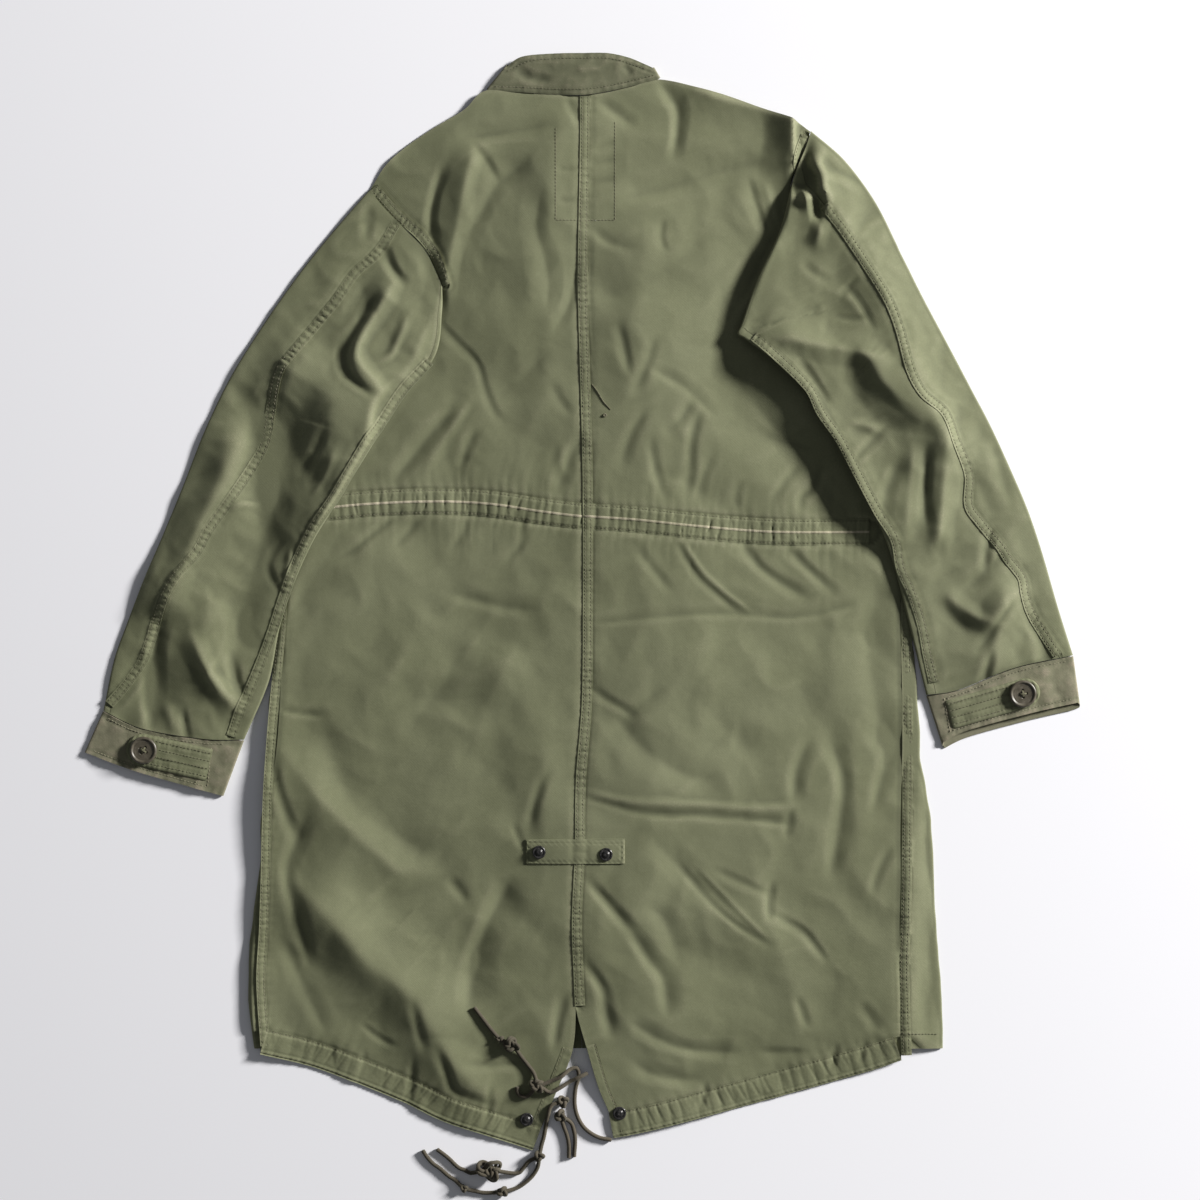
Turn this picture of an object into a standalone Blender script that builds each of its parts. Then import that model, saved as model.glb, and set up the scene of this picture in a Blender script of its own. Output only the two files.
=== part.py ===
# A fishtail parka laid out flat: the fronts lie on the ground, the back lies on the fronts,
# and both sleeves are brought down over the sides of the back. +Y points to the collar.
# Every panel is a wall of cloth. Tables are in millimetres, and place() turns them into metres.

import math
from collections import namedtuple

import bmesh
import bpy
from mathutils import Vector
from mathutils.bvhtree import BVHTree

MM = 0.001

# Cloth
CLOTH = 1.2                 # one layer of shell cloth
BAND = 1.6                  # collar, cuffs and tabs, which are two layers sewn together
GAP = 0.3                   # between pieces that meet at a seam
LAYER_GAP = 0.8             # between a panel and what is laid on it
FOLD_RADIUS = CLOTH + GAP / 2
FOLD = 2 * FOLD_RADIUS      # height of a panel turned flat on itself
BAND_RADIUS = BAND + GAP / 2
ON_FRONT = CLOTH + GAP      # underside of the back where it lies on the fronts

# Spacing of the points along a row
PLAIN_STEP = 25.0
GATHER_STEP = 5.2

# Gathers
WAIST_PITCH = 16.6          # along the waist drawcord channel
HEM_PITCH = 21.0            # along the hem channel
GATHERS_FROM = -238.0       # the waist gathers fade out under the sleeves
GATHERS_TO = 278.0
GATHER_FADE = 30.0

SIDE_RISE = 42.0            # width over which the back rises from its side seam
SEAM_RISE = 0.15            # share of a row's rise that is already lost at the side seam
FRONT_HEM = -430.0          # the fronts end here, and the tails lie on the ground below it
HEM_DROP = 20.0             # length over which the back comes down to the ground there

# How far cloth that lies over an edge takes to reach the ground beyond it
DRAPE_FLAT = 10.0
DRAPE_RUN = 32.0
DRAPE_RINGS = (0, 5, 10, 16, 22, 29, 36)
DRAPE_SPOKES = 12

# Hardware
BUTTON_RADIUS = 13.0
BUTTON_PROFILE = ((0, 0), (11.4, 0), (13, 0.9), (13, 2.1), (12, 3.0), (10.2, 3.1), (8.6, 2.3), (0, 2.1))
SNAP_RADIUS = 6.3
SNAP_PROFILE = ((0, 0), (6.3, 0), (6.3, 0.8), (5.4, 1.9), (3.4, 2.6), (0, 2.8))
BUTTON_SIDES = 20
SNAP_SIDES = 16

# Drawcord
CORD = 3.8
CORD_STEP = 9.0
CORD_SIDES_RESOLUTION = 2

# Rows of the back from the collar to the hem: mean rise over the fronts, height of the gathers
# on the row, pitch of those gathers, and the row's line from the centre seam out to the side.
BackRow = namedtuple("BackRow", "rise wave pitch left right")
BACK = (
    BackRow(0.7, 0, 0,
            ((-2, 483), (-60, 486), (-93, 488), (-113, 470), (-140, 454), (-167, 436), (-188, 417),
             (-203, 394)),
            ((-2, 483), (21, 486), (48, 492), (76, 499), (130, 486), (167, 473), (202, 460), (219, 449))),
    BackRow(1.8, 0, 0, ((-2, 462), (-96, 462), (-140, 432), (-191, 379)), ((-2, 462), (76, 474), (214, 434))),
    BackRow(2.6, 0, 0, ((-2, 438), (-100, 432), (-169, 356)), ((-2, 438), (90, 444), (206, 415))),
    BackRow(3.0, 0, 0, ((-2, 408), (-150, 336)), ((-2, 408), (200, 398))),
    BackRow(3.2, 0, 0, ((-3, 372), (-138, 312)), ((-3, 372), (209, 370))),
    BackRow(3.2, 0, 0, ((-4, 338), (-133, 300)), ((-4, 338), (215, 336))),
    BackRow(3.2, 0, 0, ((-4, 302), (-140, 283)), ((-4, 302), (221, 298))),
    BackRow(3.2, 0, 0, ((-4, 266), (-156, 267)), ((-4, 266), (238, 259))),
    BackRow(3.2, 0, 0, ((-3, 236), (-213, 235)), ((-3, 236), (267, 230))),
    BackRow(3.2, 0, 0, ((-1, 209), (-285, 213)), ((-1, 209), (307, 206))),
    BackRow(3.0, 0, 0, ((1, 162), (-285, 166)), ((1, 162), (307, 160))),
    BackRow(2.6, 0, 0, ((1, 114), (-130, 126), (-285, 122)), ((1, 114), (200, 100), (307, 98))),
    BackRow(1.8, 1.3, WAIST_PITCH, ((1, 91), (-66, 101), (-222, 101), (-285, 100)),
            ((1, 91), (108, 82), (196, 76), (307, 74))),
    BackRow(2.2, 2.2, WAIST_PITCH, ((1, 80), (-43, 85), (-119, 94), (-236, 89), (-285, 88)),
            ((1, 80), (108, 71), (184, 65), (307, 64))),
    BackRow(1.8, 1.3, WAIST_PITCH, ((1, 69), (-59, 78), (-119, 81), (-240, 78), (-285, 77)),
            ((1, 69), (71, 63), (147, 57), (307, 53))),
    BackRow(2.6, 0, 0, ((1, 45), (-130, 55), (-285, 52)), ((1, 45), (150, 33), (307, 28))),
    BackRow(3.0, 0, 0, ((1, 0), (-286, 6)), ((1, 0), (305, -12))),
    BackRow(3.2, 0, 0, ((1, -48), (-287, -44)), ((1, -48), (306, -56))),
    BackRow(3.2, 0, 0, ((1, -96), (-289, -92)), ((1, -96), (307, -100))),
    BackRow(3.2, 0, 0, ((-3, -140), (-292, -138)), ((-3, -140), (307, -142))),
    BackRow(3.2, 0, 0, ((-6, -180), (-297, -178)), ((-6, -180), (306, -184))),
    BackRow(3.0, 0, 0, ((-7, -226), (-303, -222)), ((-7, -226), (305, -228))),
    BackRow(3.0, 0, 0, ((-8, -266), (-306, -262)), ((-8, -266), (305, -270))),
    BackRow(3.0, 0, 0, ((-10, -306), (-307, -300)), ((-10, -306), (304, -312))),
    BackRow(2.8, 0, 0, ((-9, -348), (-308, -330)), ((-9, -348), (305, -348))),
    BackRow(2.4, 0, 0, ((-6, -389), (-308, -356)), ((-6, -389), (306, -378))),
    BackRow(2.0, 0, 0, ((-9, -431), (-308, -380)), ((4, -427), (306, -398))),
    BackRow(1.2, 0, 0, ((-24, -470), (-308, -400)), ((16, -468), (306, -411))),
    BackRow(0.6, 0.7, HEM_PITCH, ((-39, -506), (-96, -489), (-175, -457), (-252, -428), (-308, -416)),
            ((27, -495), (89, -480), (171, -458), (267, -431), (306, -421))),
    BackRow(0, 1.2, HEM_PITCH,
            ((-47, -527), (-96, -511), (-135, -498), (-175, -479), (-252, -449), (-308, -434)),
            ((30, -515), (51, -511), (89, -502), (171, -480), (267, -453), (306, -440))),
)

# The fold of the fronts along each side of the coat: height along the coat, and the fold's place.
EDGE_LEFT = ((-434, -314), (-413, -317), (-384, -320.5), (-330, -319), (-288, -313), (-250, -308.5),
             (-211, -308), (-182, -304), (-144, -301), (-96, -300), (-38, -293), (6, -291), (213, -290))
EDGE_RIGHT = ((-440, 346), (-411, 346), (-364, 344), (-314, 340), (-250, 337), (-211, 335), (-153, 325),
              (-108, 323), (-56, 319), (-14, 312), (206, 312))

# Rows of the fronts above the armhole's lowest point, from the centre front out to the armhole.
ARMPIT = {"left": 213, "right": 206}
FRONT_TOP_LEFT = (
    ((0, 236), (-213, 235)),
    ((0, 267), (-156, 267)),
    ((0, 302), (-133, 300)),
    ((0, 345), (-138, 312)),
    ((0, 380), (-60, 384), (-150, 336)),
    ((0, 400), (-50, 408), (-90, 430), (-169, 356)),
    ((0, 422), (-40, 432), (-75, 455), (-93, 488), (-113, 470), (-140, 454), (-167, 436), (-188, 417),
     (-203, 394)),
)
FRONT_TOP_RIGHT = (
    ((0, 236), (267, 230)),
    ((0, 267), (238, 259)),
    ((0, 302), (221, 298)),
    ((0, 345), (215, 336)),
    ((0, 380), (60, 390), (209, 370)),
    ((0, 400), (50, 412), (90, 440), (200, 398)),
    ((0, 422), (36, 434), (62, 462), (76, 499), (130, 486), (167, 473), (202, 460), (219, 449)),
)
FRONT_TOP = {"left": FRONT_TOP_LEFT, "right": FRONT_TOP_RIGHT}

# The sleeves from the armhole down to the cuff: rise of the upper layer, the share of the row where
# the sleeve starts to lift over the back (below 0 it is lifted all along), the shares at which the
# elbow and underarm seams lie, and the row's line from the sleeve's outer edge to its inner edge.
SleeveRow = namedtuple("SleeveRow", "rise lift_from elbow underarm line")
SLEEVE_LEFT = (
    SleeveRow(1.0, 0.45, 0.34, 0.96,
              ((-203.7, 393.6), (-191.7, 378.5), (-169.6, 355.4), (-150.6, 335.4), (-138.7, 311.6),
               (-133.8, 299.7))),
    SleeveRow(2.6, -1, 0.34, 0.965, ((-240, 352), (-134, 275))),
    SleeveRow(3.4, -1, 0.29, 0.97, ((-275, 308), (-140, 235))),
    SleeveRow(3.6, -1, 0.26, 0.97, ((-309, 259), (-168, 197))),
    SleeveRow(3.6, -1, 0.29, 0.97, ((-338, 212), (-191, 162))),
    SleeveRow(3.6, -1, 0.38, 0.97, ((-362, 162), (-217, 120))),
    SleeveRow(3.6, -1, 0.34, 0.96, ((-384, 106), (-240, 83))),
    SleeveRow(3.6, -1, 0.29, 0.96, ((-403, 60), (-259, 52))),
    SleeveRow(3.6, -1, 0.22, 0.965, ((-420, 20), (-277, 12))),
    SleeveRow(3.4, -1, 0.19, 0.95, ((-437, -24), (-290, -28))),
    SleeveRow(3.0, -1, 0.16, 0.92, ((-449, -58), (-300, -78))),
    SleeveRow(2.0, -1, 0.06, 0.89, ((-459, -106), (-422, -123), (-363, -133), (-324, -134))),
)
SLEEVE_RIGHT = (
    SleeveRow(0.6, 0.2, 0.50, 0.92, ((219.7, 449.7), (214.7, 434.3), (206.8, 415.2), (200.8, 398.2))),
    SleeveRow(1.8, -1, 0.44, 0.95, ((252, 421), (189, 353))),
    SleeveRow(3.0, -1, 0.32, 0.96, ((280, 384), (167, 305))),
    SleeveRow(3.6, -1, 0.22, 0.97, ((305, 334), (149, 254))),
    SleeveRow(3.6, -1, 0.24, 0.97, ((328, 288), (189, 224))),
    SleeveRow(3.6, -1, 0.31, 0.97, ((352, 243), (217, 199))),
    SleeveRow(3.6, -1, 0.30, 0.97, ((372, 205), (234, 170))),
    SleeveRow(3.6, -1, 0.27, 0.97, ((392, 167), (254, 136))),
    SleeveRow(3.6, -1, 0.28, 0.97, ((410, 128), (271, 100))),
    SleeveRow(3.6, -1, 0.33, 0.95, ((427, 88), (288, 63))),
    SleeveRow(3.6, -1, 0.26, 0.95, ((441, 47), (300, 28))),
    SleeveRow(3.2, -1, 0.19, 0.93, ((456, -5), (313, -22))),
    SleeveRow(2.0, -1, 0.09, 0.94, ((471, -53), (414, -65), (361, -86), (330, -91))),
)

SLEEVES = {"left": SLEEVE_LEFT, "right": SLEEVE_RIGHT}
SLEEVE_COLUMNS = 9          # steps across a sleeve's upper piece

# Largest folds: ends of the crease, its half width, and its height (a trough is below 0).
Fold = namedtuple("Fold", "x0 y0 x1 y1 width height")
BACK_FOLDS = (
    Fold(-104, 440, -128, 330, 26, 4.5),
    Fold(-132, 415, -150, 352, 22, -2.4),
    Fold(40, 392, 175, 420, 34, -2.4),
    Fold(150, 398, 176, 360, 24, 3.5),
    Fold(-121, 180, -184, 124, 30, 3.0),
    Fold(-240, 40, -60, 4, 26, -2.2),
    Fold(95, 44, 160, -4, 28, 2.6),
    Fold(15, -168, 185, -172, 26, 3.2),
    Fold(20, -196, 195, -200, 22, -2.6),
    Fold(-276, -268, -205, -344, 32, 5.0),
    Fold(-205, -344, -150, -405, 30, 4.0),
    Fold(-104, -330, -98, -405, 28, -2.0),
    Fold(20, -300, 60, -340, 26, 2.6),
    Fold(50, -400, 100, -420, 24, 2.0),
)
SLEEVE_FOLDS = (
    Fold(-198, 322, -226, 262, 24, -2.6),
    Fold(-172, 330, -205, 258, 22, 4.5),
    Fold(-300, 236, -262, 60, 44, -3.0),
    Fold(-232, 190, -300, 60, 30, 3.6),
    Fold(-340, 40, -318, -30, 28, 3.4),
    Fold(-394, -32, -408, -104, 22, -2.4),
    Fold(-362, -40, -346, -104, 24, 3.2),
    Fold(222, 420, 258, 398, 22, 3.6),
    Fold(180, 246, 290, 226, 24, 5.0),
    Fold(266, 214, 330, 176, 22, -2.8),
    Fold(310, 214, 345, 100, 30, 3.4),
    Fold(280, 160, 262, 128, 24, 3.0),
    Fold(390, 60, 402, -20, 30, 3.2),
    Fold(430, 10, 440, -40, 22, -2.4),
)

# Collar: each row runs from the neck seam to the top edge. The rows go from the centre front on
# the left, underneath, round the left end, across the back of the neck and round to the right.
CollarRow = namedtuple("CollarRow", "seam top")
COLLAR_UNDER_LEFT = (
    CollarRow((-0.3, 422.5), (-0.3, 465)),
    CollarRow((-39.7, 432.9), (-30, 474)),
    CollarRow((-74.4, 456), (-54, 493)),
    CollarRow((-90, 489.6), (-70, 513)),
)
COLLAR_BACK = (
    CollarRow((-90, 488.6), (-70, 514)),
    CollarRow((-60, 486.6), (-50, 522)),
    CollarRow((-2, 483.6), (-2, 524)),
    CollarRow((21, 486.6), (24, 524)),
    CollarRow((48, 492.6), (44, 520)),
    CollarRow((74, 499.6), (68, 510)),
)
COLLAR_UNDER_RIGHT = (
    CollarRow((73, 500.6), (67, 510)),
    CollarRow((61.2, 463), (48, 494)),
    CollarRow((35.6, 435), (26, 475)),
    CollarRow((0.3, 422.5), (0.3, 465)),
)
COLLAR_RISE = 2.0

# Cuffs: the seam to the sleeve and the open edge, both from the outer side to the inner side.
Cuff = namedtuple("Cuff", "seam edge under_shift tab_root tab_tip tab_width")
CUFFS = {
    "left": Cuff(((-459.6, -106.8), (-422.4, -123.9), (-363, -133.9), (-324.2, -134.9)),
                 ((-477, -146), (-431, -163), (-376, -179), (-344, -188)),
                 (0, 0), (-357, -158), (-436, -140), 31),
    "right": Cuff(((471.3, -53.9), (414.3, -65.9), (361.3, -86.8), (330.3, -91.9)),
                  ((477, -98), (428, -109), (370, -125), (345, -137)),
                  (1.5, -6), (352, -110), (438, -85), 28),
}
CUFF_RISE = 2.0
TAB_SECTIONS = 9
BUTTON_INSET = 17.0         # from the tab's tip to the middle of its button

# Snap strip low on the back, and the four snaps
STRIP_X = (-54, 41)
STRIP_Y = (-253, -229)
SNAPS = {
    "snap_strip_left": (-41, -241),
    "snap_strip_right": (23, -243),
    "snap_tail_left": (-53, -498),
    "snap_tail_right": (36, -492),
}

# Knots of the drawcord: middle, and half sizes along X, Y and Z.
Knot = namedtuple("Knot", "x y rx ry rz")
KNOTS = {
    "knot_join": Knot(-42, -465, 7.5, 7, 5),
    "knot_up": Knot(-66.5, -425.5, 8.4, 8, 4.8),
    "knot_up_end": Knot(-78.3, -420, 4.4, 3.6, 3.2),
    "knot_side": Knot(-18, -480.4, 6, 7, 4.5),
    "knot_fringe": Knot(-20.5, -494, 6.5, 7, 5),
    "knot_tip": Knot(-41, -533, 6, 5.8, 4.6),
    "knot_cluster": Knot(-88, -546, 14, 12, 7),
    "knot_fork": Knot(-76, -567, 6.4, 5.6, 4.6),
    "knot_low_end": Knot(-113, -564, 4.4, 4.2, 3.6),
}

# Stretches of the drawcord: the knots that they start from and run into, and the points between,
# each with its lift above what it lies on.
Stretch = namedtuple("Stretch", "start end points")
CORDS = {
    "cord_right": Stretch(None, "knot_join",
                          ((28, -518, 0), (15, -515, 0), (3, -507, 0), (-4, -496, 0), (-7, -483, 0),
                           (-6, -468, 0), (-3, -457, 0), (-5, -449, 1), (-12, -450, 3), (-20, -456, 1),
                           (-28, -459.5, 0))),
    "cord_cross": Stretch("knot_join", None,
                          ((-31, -471, 0), (-22, -467.5, 0), (-12, -461.5, 3), (-3, -457, 5.5),
                           (5, -453.5, 2))),
    "cord_up": Stretch("knot_join", "knot_up", ((-46, -453, 0), (-51, -446, 0), (-58, -437, 0))),
    "cord_up_free": Stretch("knot_up_end", None, ((-86, -412, 0), (-93, -403, 0), (-103, -390, 0))),
    "cord_edge": Stretch("knot_tip", "knot_side",
                         ((-38.5, -522, 0), (-36.5, -515, 0), (-34.5, -504, 0), (-32.5, -494, 0),
                          (-29, -484, 0))),
    "cord_fringe_right": Stretch("knot_fringe", None,
                                 ((-11, -501, 0), (-8, -508, 0), (-6.5, -518, 0), (-7.5, -534, 0))),
    "cord_fringe_left": Stretch("knot_fringe", None,
                                ((-17.5, -505, 0), (-14.5, -513, 0), (-12.5, -523, 0), (-12.5, -535, 0))),
    "cord_hook": Stretch("knot_join", None,
                         ((-51, -474.5, 0), (-57, -475.5, 0), (-61.5, -472, 0), (-62, -466, 0))),
    "cord_low_inner": Stretch("knot_tip", "knot_cluster", ((-51.5, -539, 0), (-57, -546, 0), (-64, -550, 0))),
    "cord_low_inner_free": Stretch("knot_cluster", None,
                                   ((-106, -549.5, 0), (-112, -547, 0), (-119, -544, 0), (-128.5, -535, 0),
                                    (-139, -527, 0))),
    "cord_low_outer": Stretch("knot_tip", "knot_fork",
                              ((-42.5, -544, 0), (-48, -553, 0), (-56.5, -560.5, 0), (-64, -564.5, 0))),
    "cord_low_middle": Stretch("knot_fork", "knot_low_end",
                               ((-87, -568.5, 0), (-95, -568.5, 0), (-102, -567, 0))),
    "cord_low_outer_free": Stretch("knot_low_end", None,
                                   ((-121, -557, 0), (-128, -552.5, 0), (-136, -545.5, 0), (-143, -540.5, 0),
                                    (-148.5, -534.5, 0), (-152.6, -528, 0))),
}

COLORS = {
    "shell": ((0.190, 0.198, 0.128), 0.85),
    "band": ((0.165, 0.160, 0.105), 0.85),
    "button": ((0.070, 0.062, 0.045), 0.45),
    "snap": ((0.020, 0.021, 0.022), 0.35),
    "cord": ((0.075, 0.062, 0.045), 0.9),
}


def clear_scene():
    for thing in list(bpy.data.objects):
        bpy.data.objects.remove(thing)


def smooth(value):
    value = min(max(value, 0.0), 1.0)
    return value * value * (3 - 2 * value)


def mix(first, second, share):
    return tuple(a + (b - a) * share for a, b in zip(first, second))


def make_material(name, kind):
    color, roughness = COLORS[kind]
    material = bpy.data.materials.new(name)
    material.use_nodes = True
    shader = material.node_tree.nodes["Principled BSDF"]
    shader.inputs["Base Color"].default_value = (*color, 1)
    shader.inputs["Roughness"].default_value = roughness
    shader.inputs["Metallic"].default_value = 0.6 if kind == "snap" else 0.0
    return material


def place(name, shape, kind):
    """Turns a bmesh in millimetres into an object in metres."""
    bmesh.ops.scale(shape, vec=(MM, MM, MM), verts=shape.verts)
    bmesh.ops.recalc_face_normals(shape, faces=shape.faces)
    mesh = bpy.data.meshes.new(name)
    shape.to_mesh(mesh)
    shape.free()
    mesh.shade_smooth()
    mesh.set_sharp_from_angle(angle=math.radians(40))
    mesh.materials.append(make_material(name, kind))
    thing = bpy.data.objects.new(name, mesh)
    bpy.context.scene.collection.objects.link(thing)
    return thing


# --- lines and rows ---

def lengths(line):
    """Distances of a line's points from its start, along it."""
    found = [0.0]
    for start, end in zip(line, line[1:]):
        found.append(found[-1] + math.dist(start, end))
    return found


def along(line, share):
    """The point at a share of a line's length."""
    marks = lengths(line)
    target = share * marks[-1]
    for start, end, low, high in zip(line, line[1:], marks, marks[1:]):
        if target <= high:
            return mix(start, end, (target - low) / (high - low))
    return tuple(line[-1])


def stops(line, step):
    """Shares of a line's length at its own points and at even steps between them."""
    marks = lengths(line)
    shares = [0.0]
    for low, high in zip(marks, marks[1:]):
        parts = max(1, round((high - low) / step))
        shares += [(low + (high - low) * (k + 1) / parts) / marks[-1] for k in range(parts)]
    return shares


def bridge(first, second):
    """Triangles between two rows of (share, index), each step taken on the row that lags."""
    low = max(first[0][0], second[0][0])
    high = min(first[-1][0], second[-1][0])
    first = [entry for entry in first if low - 1e-6 <= entry[0] <= high + 1e-6]
    second = [entry for entry in second if low - 1e-6 <= entry[0] <= high + 1e-6]
    triangles = []
    a = b = 0
    while a < len(first) - 1 or b < len(second) - 1:
        next_a = first[a + 1][0] if a < len(first) - 1 else math.inf
        next_b = second[b + 1][0] if b < len(second) - 1 else math.inf
        if next_a <= next_b:
            triangles.append((first[a][1], first[a + 1][1], second[b][1]))
            a += 1
        else:
            triangles.append((first[a][1], second[b + 1][1], second[b][1]))
            b += 1
    return triangles


def cloth(name, rows, kind="shell", closed=False):
    """A closed wall of cloth through rows of (share, outside point, inside point)."""
    shape = bmesh.new()
    outside = []
    inside = []
    grid = []
    for row in rows:
        first = len(outside)
        grid.append([(share, first + k) for k, (share, _, _) in enumerate(row)])
        outside += [shape.verts.new(point) for _, point, _ in row]
        inside += [shape.verts.new(point) for _, _, point in row]
        if closed:
            grid[-1].append((1.0, first))
    triangles = []
    for first, second in zip(grid, grid[1:]):
        triangles += bridge(first, second)
    sides = {}
    for corners in triangles:
        shape.faces.new([outside[k] for k in corners])
        shape.faces.new([inside[k] for k in reversed(corners)])
        for start, end in zip(corners, corners[1:] + corners[:1]):
            key = (min(start, end), max(start, end))
            sides.setdefault(key, []).append((start, end))
    for uses in sides.values():
        if len(uses) == 1:
            start, end = uses[0]
            shape.faces.new([outside[end], outside[start], inside[start]])
            shape.faces.new([outside[end], inside[start], inside[end]])
    return place(name, shape, kind)


# --- heights ---

def fold_height(x, y, folds):
    """Sum of the folds at a point: each is a rounded ridge or trough that fades out at its ends."""
    total = 0.0
    for fold in folds:
        run = Vector((fold.x1 - fold.x0, fold.y1 - fold.y0))
        offset = Vector((x - fold.x0, y - fold.y0))
        share = min(max(offset.dot(run) / run.length_squared, 0.0), 1.0)
        distance = (offset - run * share).length
        if distance < fold.width:
            across = 0.5 + 0.5 * math.cos(math.pi * distance / fold.width)
            total += fold.height * across * (0.35 + 0.65 * math.sin(math.pi * share))
    return total


def gather(x, pitch):
    """0 in a valley and 1 on a crest of the uneven gathers."""
    turns = x / pitch + 0.28 * math.sin(x / 29) + 0.16 * math.sin(x / 12.3 + 1)
    return 0.5 - 0.5 * math.cos(2 * math.pi * turns)


def gather_fade(x, pitch):
    if pitch == HEM_PITCH:
        return 1.0
    return smooth((x - GATHERS_FROM) / GATHER_FADE + 1) * smooth((GATHERS_TO - x) / GATHER_FADE + 1)


def back_underside(x, y, row, from_side):
    ground = ON_FRONT * smooth((y - FRONT_HEM + HEM_DROP) / HEM_DROP)
    side = smooth(from_side / SIDE_RISE)
    height = row.rise * (1 - SEAM_RISE) * side + side * fold_height(x, y, BACK_FOLDS)
    if row.wave:
        height += row.wave * gather(x, row.pitch) * gather_fade(x, row.pitch) * mix((0.3,), (1,), side)[0]
    return ground + max(height, 0.0)


def top_of(trees, x, y):
    """Height of the highest surface at a point, or 0 on the ground."""
    best = 0.0
    start = Vector((x, y, 500)) * MM
    for tree in trees:
        hit = tree.ray_cast(start, Vector((0, 0, -1)))[0]
        if hit is not None:
            best = max(best, hit.z / MM)
    return best


def highest_near(trees, x, y, radius):
    """Highest surface within a radius of a point."""
    best = top_of(trees, x, y)
    for k in range(DRAPE_SPOKES):
        angle = 2 * math.pi * k / DRAPE_SPOKES
        best = max(best, top_of(trees, x + radius * math.cos(angle), y + radius * math.sin(angle)))
    return best


def lies_at(trees, x, y, radius):
    """Lowest height for a small piece of this radius: on the ground, or just clear of what it lies on."""
    highest = highest_near(trees, x, y, radius)
    return highest + GAP if highest > 0 else 0.0


def drape(trees, x, y):
    """Height at which cloth laid over the body passes a point, coming down to the ground beyond its edge."""
    best = 0.0
    for ring in DRAPE_RINGS:
        fall = 1 - smooth((ring - DRAPE_FLAT) / DRAPE_RUN)
        best = max(best, highest_near(trees, x, y, ring) * fall)
    return best + LAYER_GAP * smooth(best / LAYER_GAP)


def tree_of(thing):
    shape = bmesh.new()
    shape.from_mesh(thing.data)
    tree = BVHTree.FromBMesh(shape)
    shape.free()
    return tree


# --- body ---

def make_back(side):
    """One half of the back, a row at a time from the collar to the hem."""
    sign = -1 if side == "left" else 1
    rows = []
    for row in BACK:
        line = getattr(row, side)
        step = GATHER_STEP if row.wave else PLAIN_STEP
        length = lengths(line)[-1]
        points = []
        for share in stops(line, step):
            x, y = along(line, share)
            if share == 0:
                x += sign * GAP / 2
            z = back_underside(x, y, row, (1 - share) * length)
            points.append((share, (x, y, z), (x, y, z + CLOTH)))
        rows.append(points)
    return cloth("back_" + side, rows)


def between(table, y):
    """The value at y in a table of (y, value), straight between its rows."""
    for (low, first), (high, second) in zip(table, table[1:]):
        if y <= high:
            return first + (second - first) * max(y - low, 0) / (high - low)
    return table[-1][1]


def front_side_row(side, y, seam):
    """A front's row from the centre front outwards, round the fold and back on top to the side seam."""
    sign = -1 if side == "left" else 1
    seam += sign * GAP
    turn = between(EDGE_LEFT if side == "left" else EDGE_RIGHT, y) - sign * FOLD_RADIUS
    path = []
    for k in range(8):
        x = sign * GAP / 2 + (turn - sign * GAP / 2) * k / 7
        path.append((k / 7, (x, y, 0), (x, y, CLOTH)))
    for k in range(1, 4):
        angle = math.pi * k / 4
        outer = (turn + sign * FOLD_RADIUS * math.sin(angle), y, FOLD_RADIUS * (1 - math.cos(angle)))
        inner = (turn + sign * GAP / 2 * math.sin(angle), y, FOLD_RADIUS - GAP / 2 * math.cos(angle))
        path.append((1 + k / 4, outer, inner))
    for k in range(4):
        x = turn + (seam - turn) * k / 3
        top = FOLD + 0.9 * math.sin(math.pi * k / 3) * smooth(abs(turn - seam) / 30)
        path.append((2 + k / 3, (x, y, top), (x, y, top - CLOTH)))
    return path


def make_front(side):
    sign = -1 if side == "left" else 1
    ends = [getattr(row, side)[-1] for row in BACK if not row.wave]
    ends = [(x, y) for x, y in ends if FRONT_HEM < y <= ARMPIT[side]]
    ends.append((getattr(BACK[-1], side)[-1][0], FRONT_HEM))
    rows = [front_side_row(side, y, x) for x, y in reversed(ends)]
    for line in FRONT_TOP[side]:
        points = []
        for share in stops(line, 2 * PLAIN_STEP):
            x, y = along(line, share)
            if share == 0:
                x += sign * GAP / 2
            points.append((share, (x, y, 0), (x, y, CLOTH)))
        rows.append(points)
    return cloth("front_" + side, rows)


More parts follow.
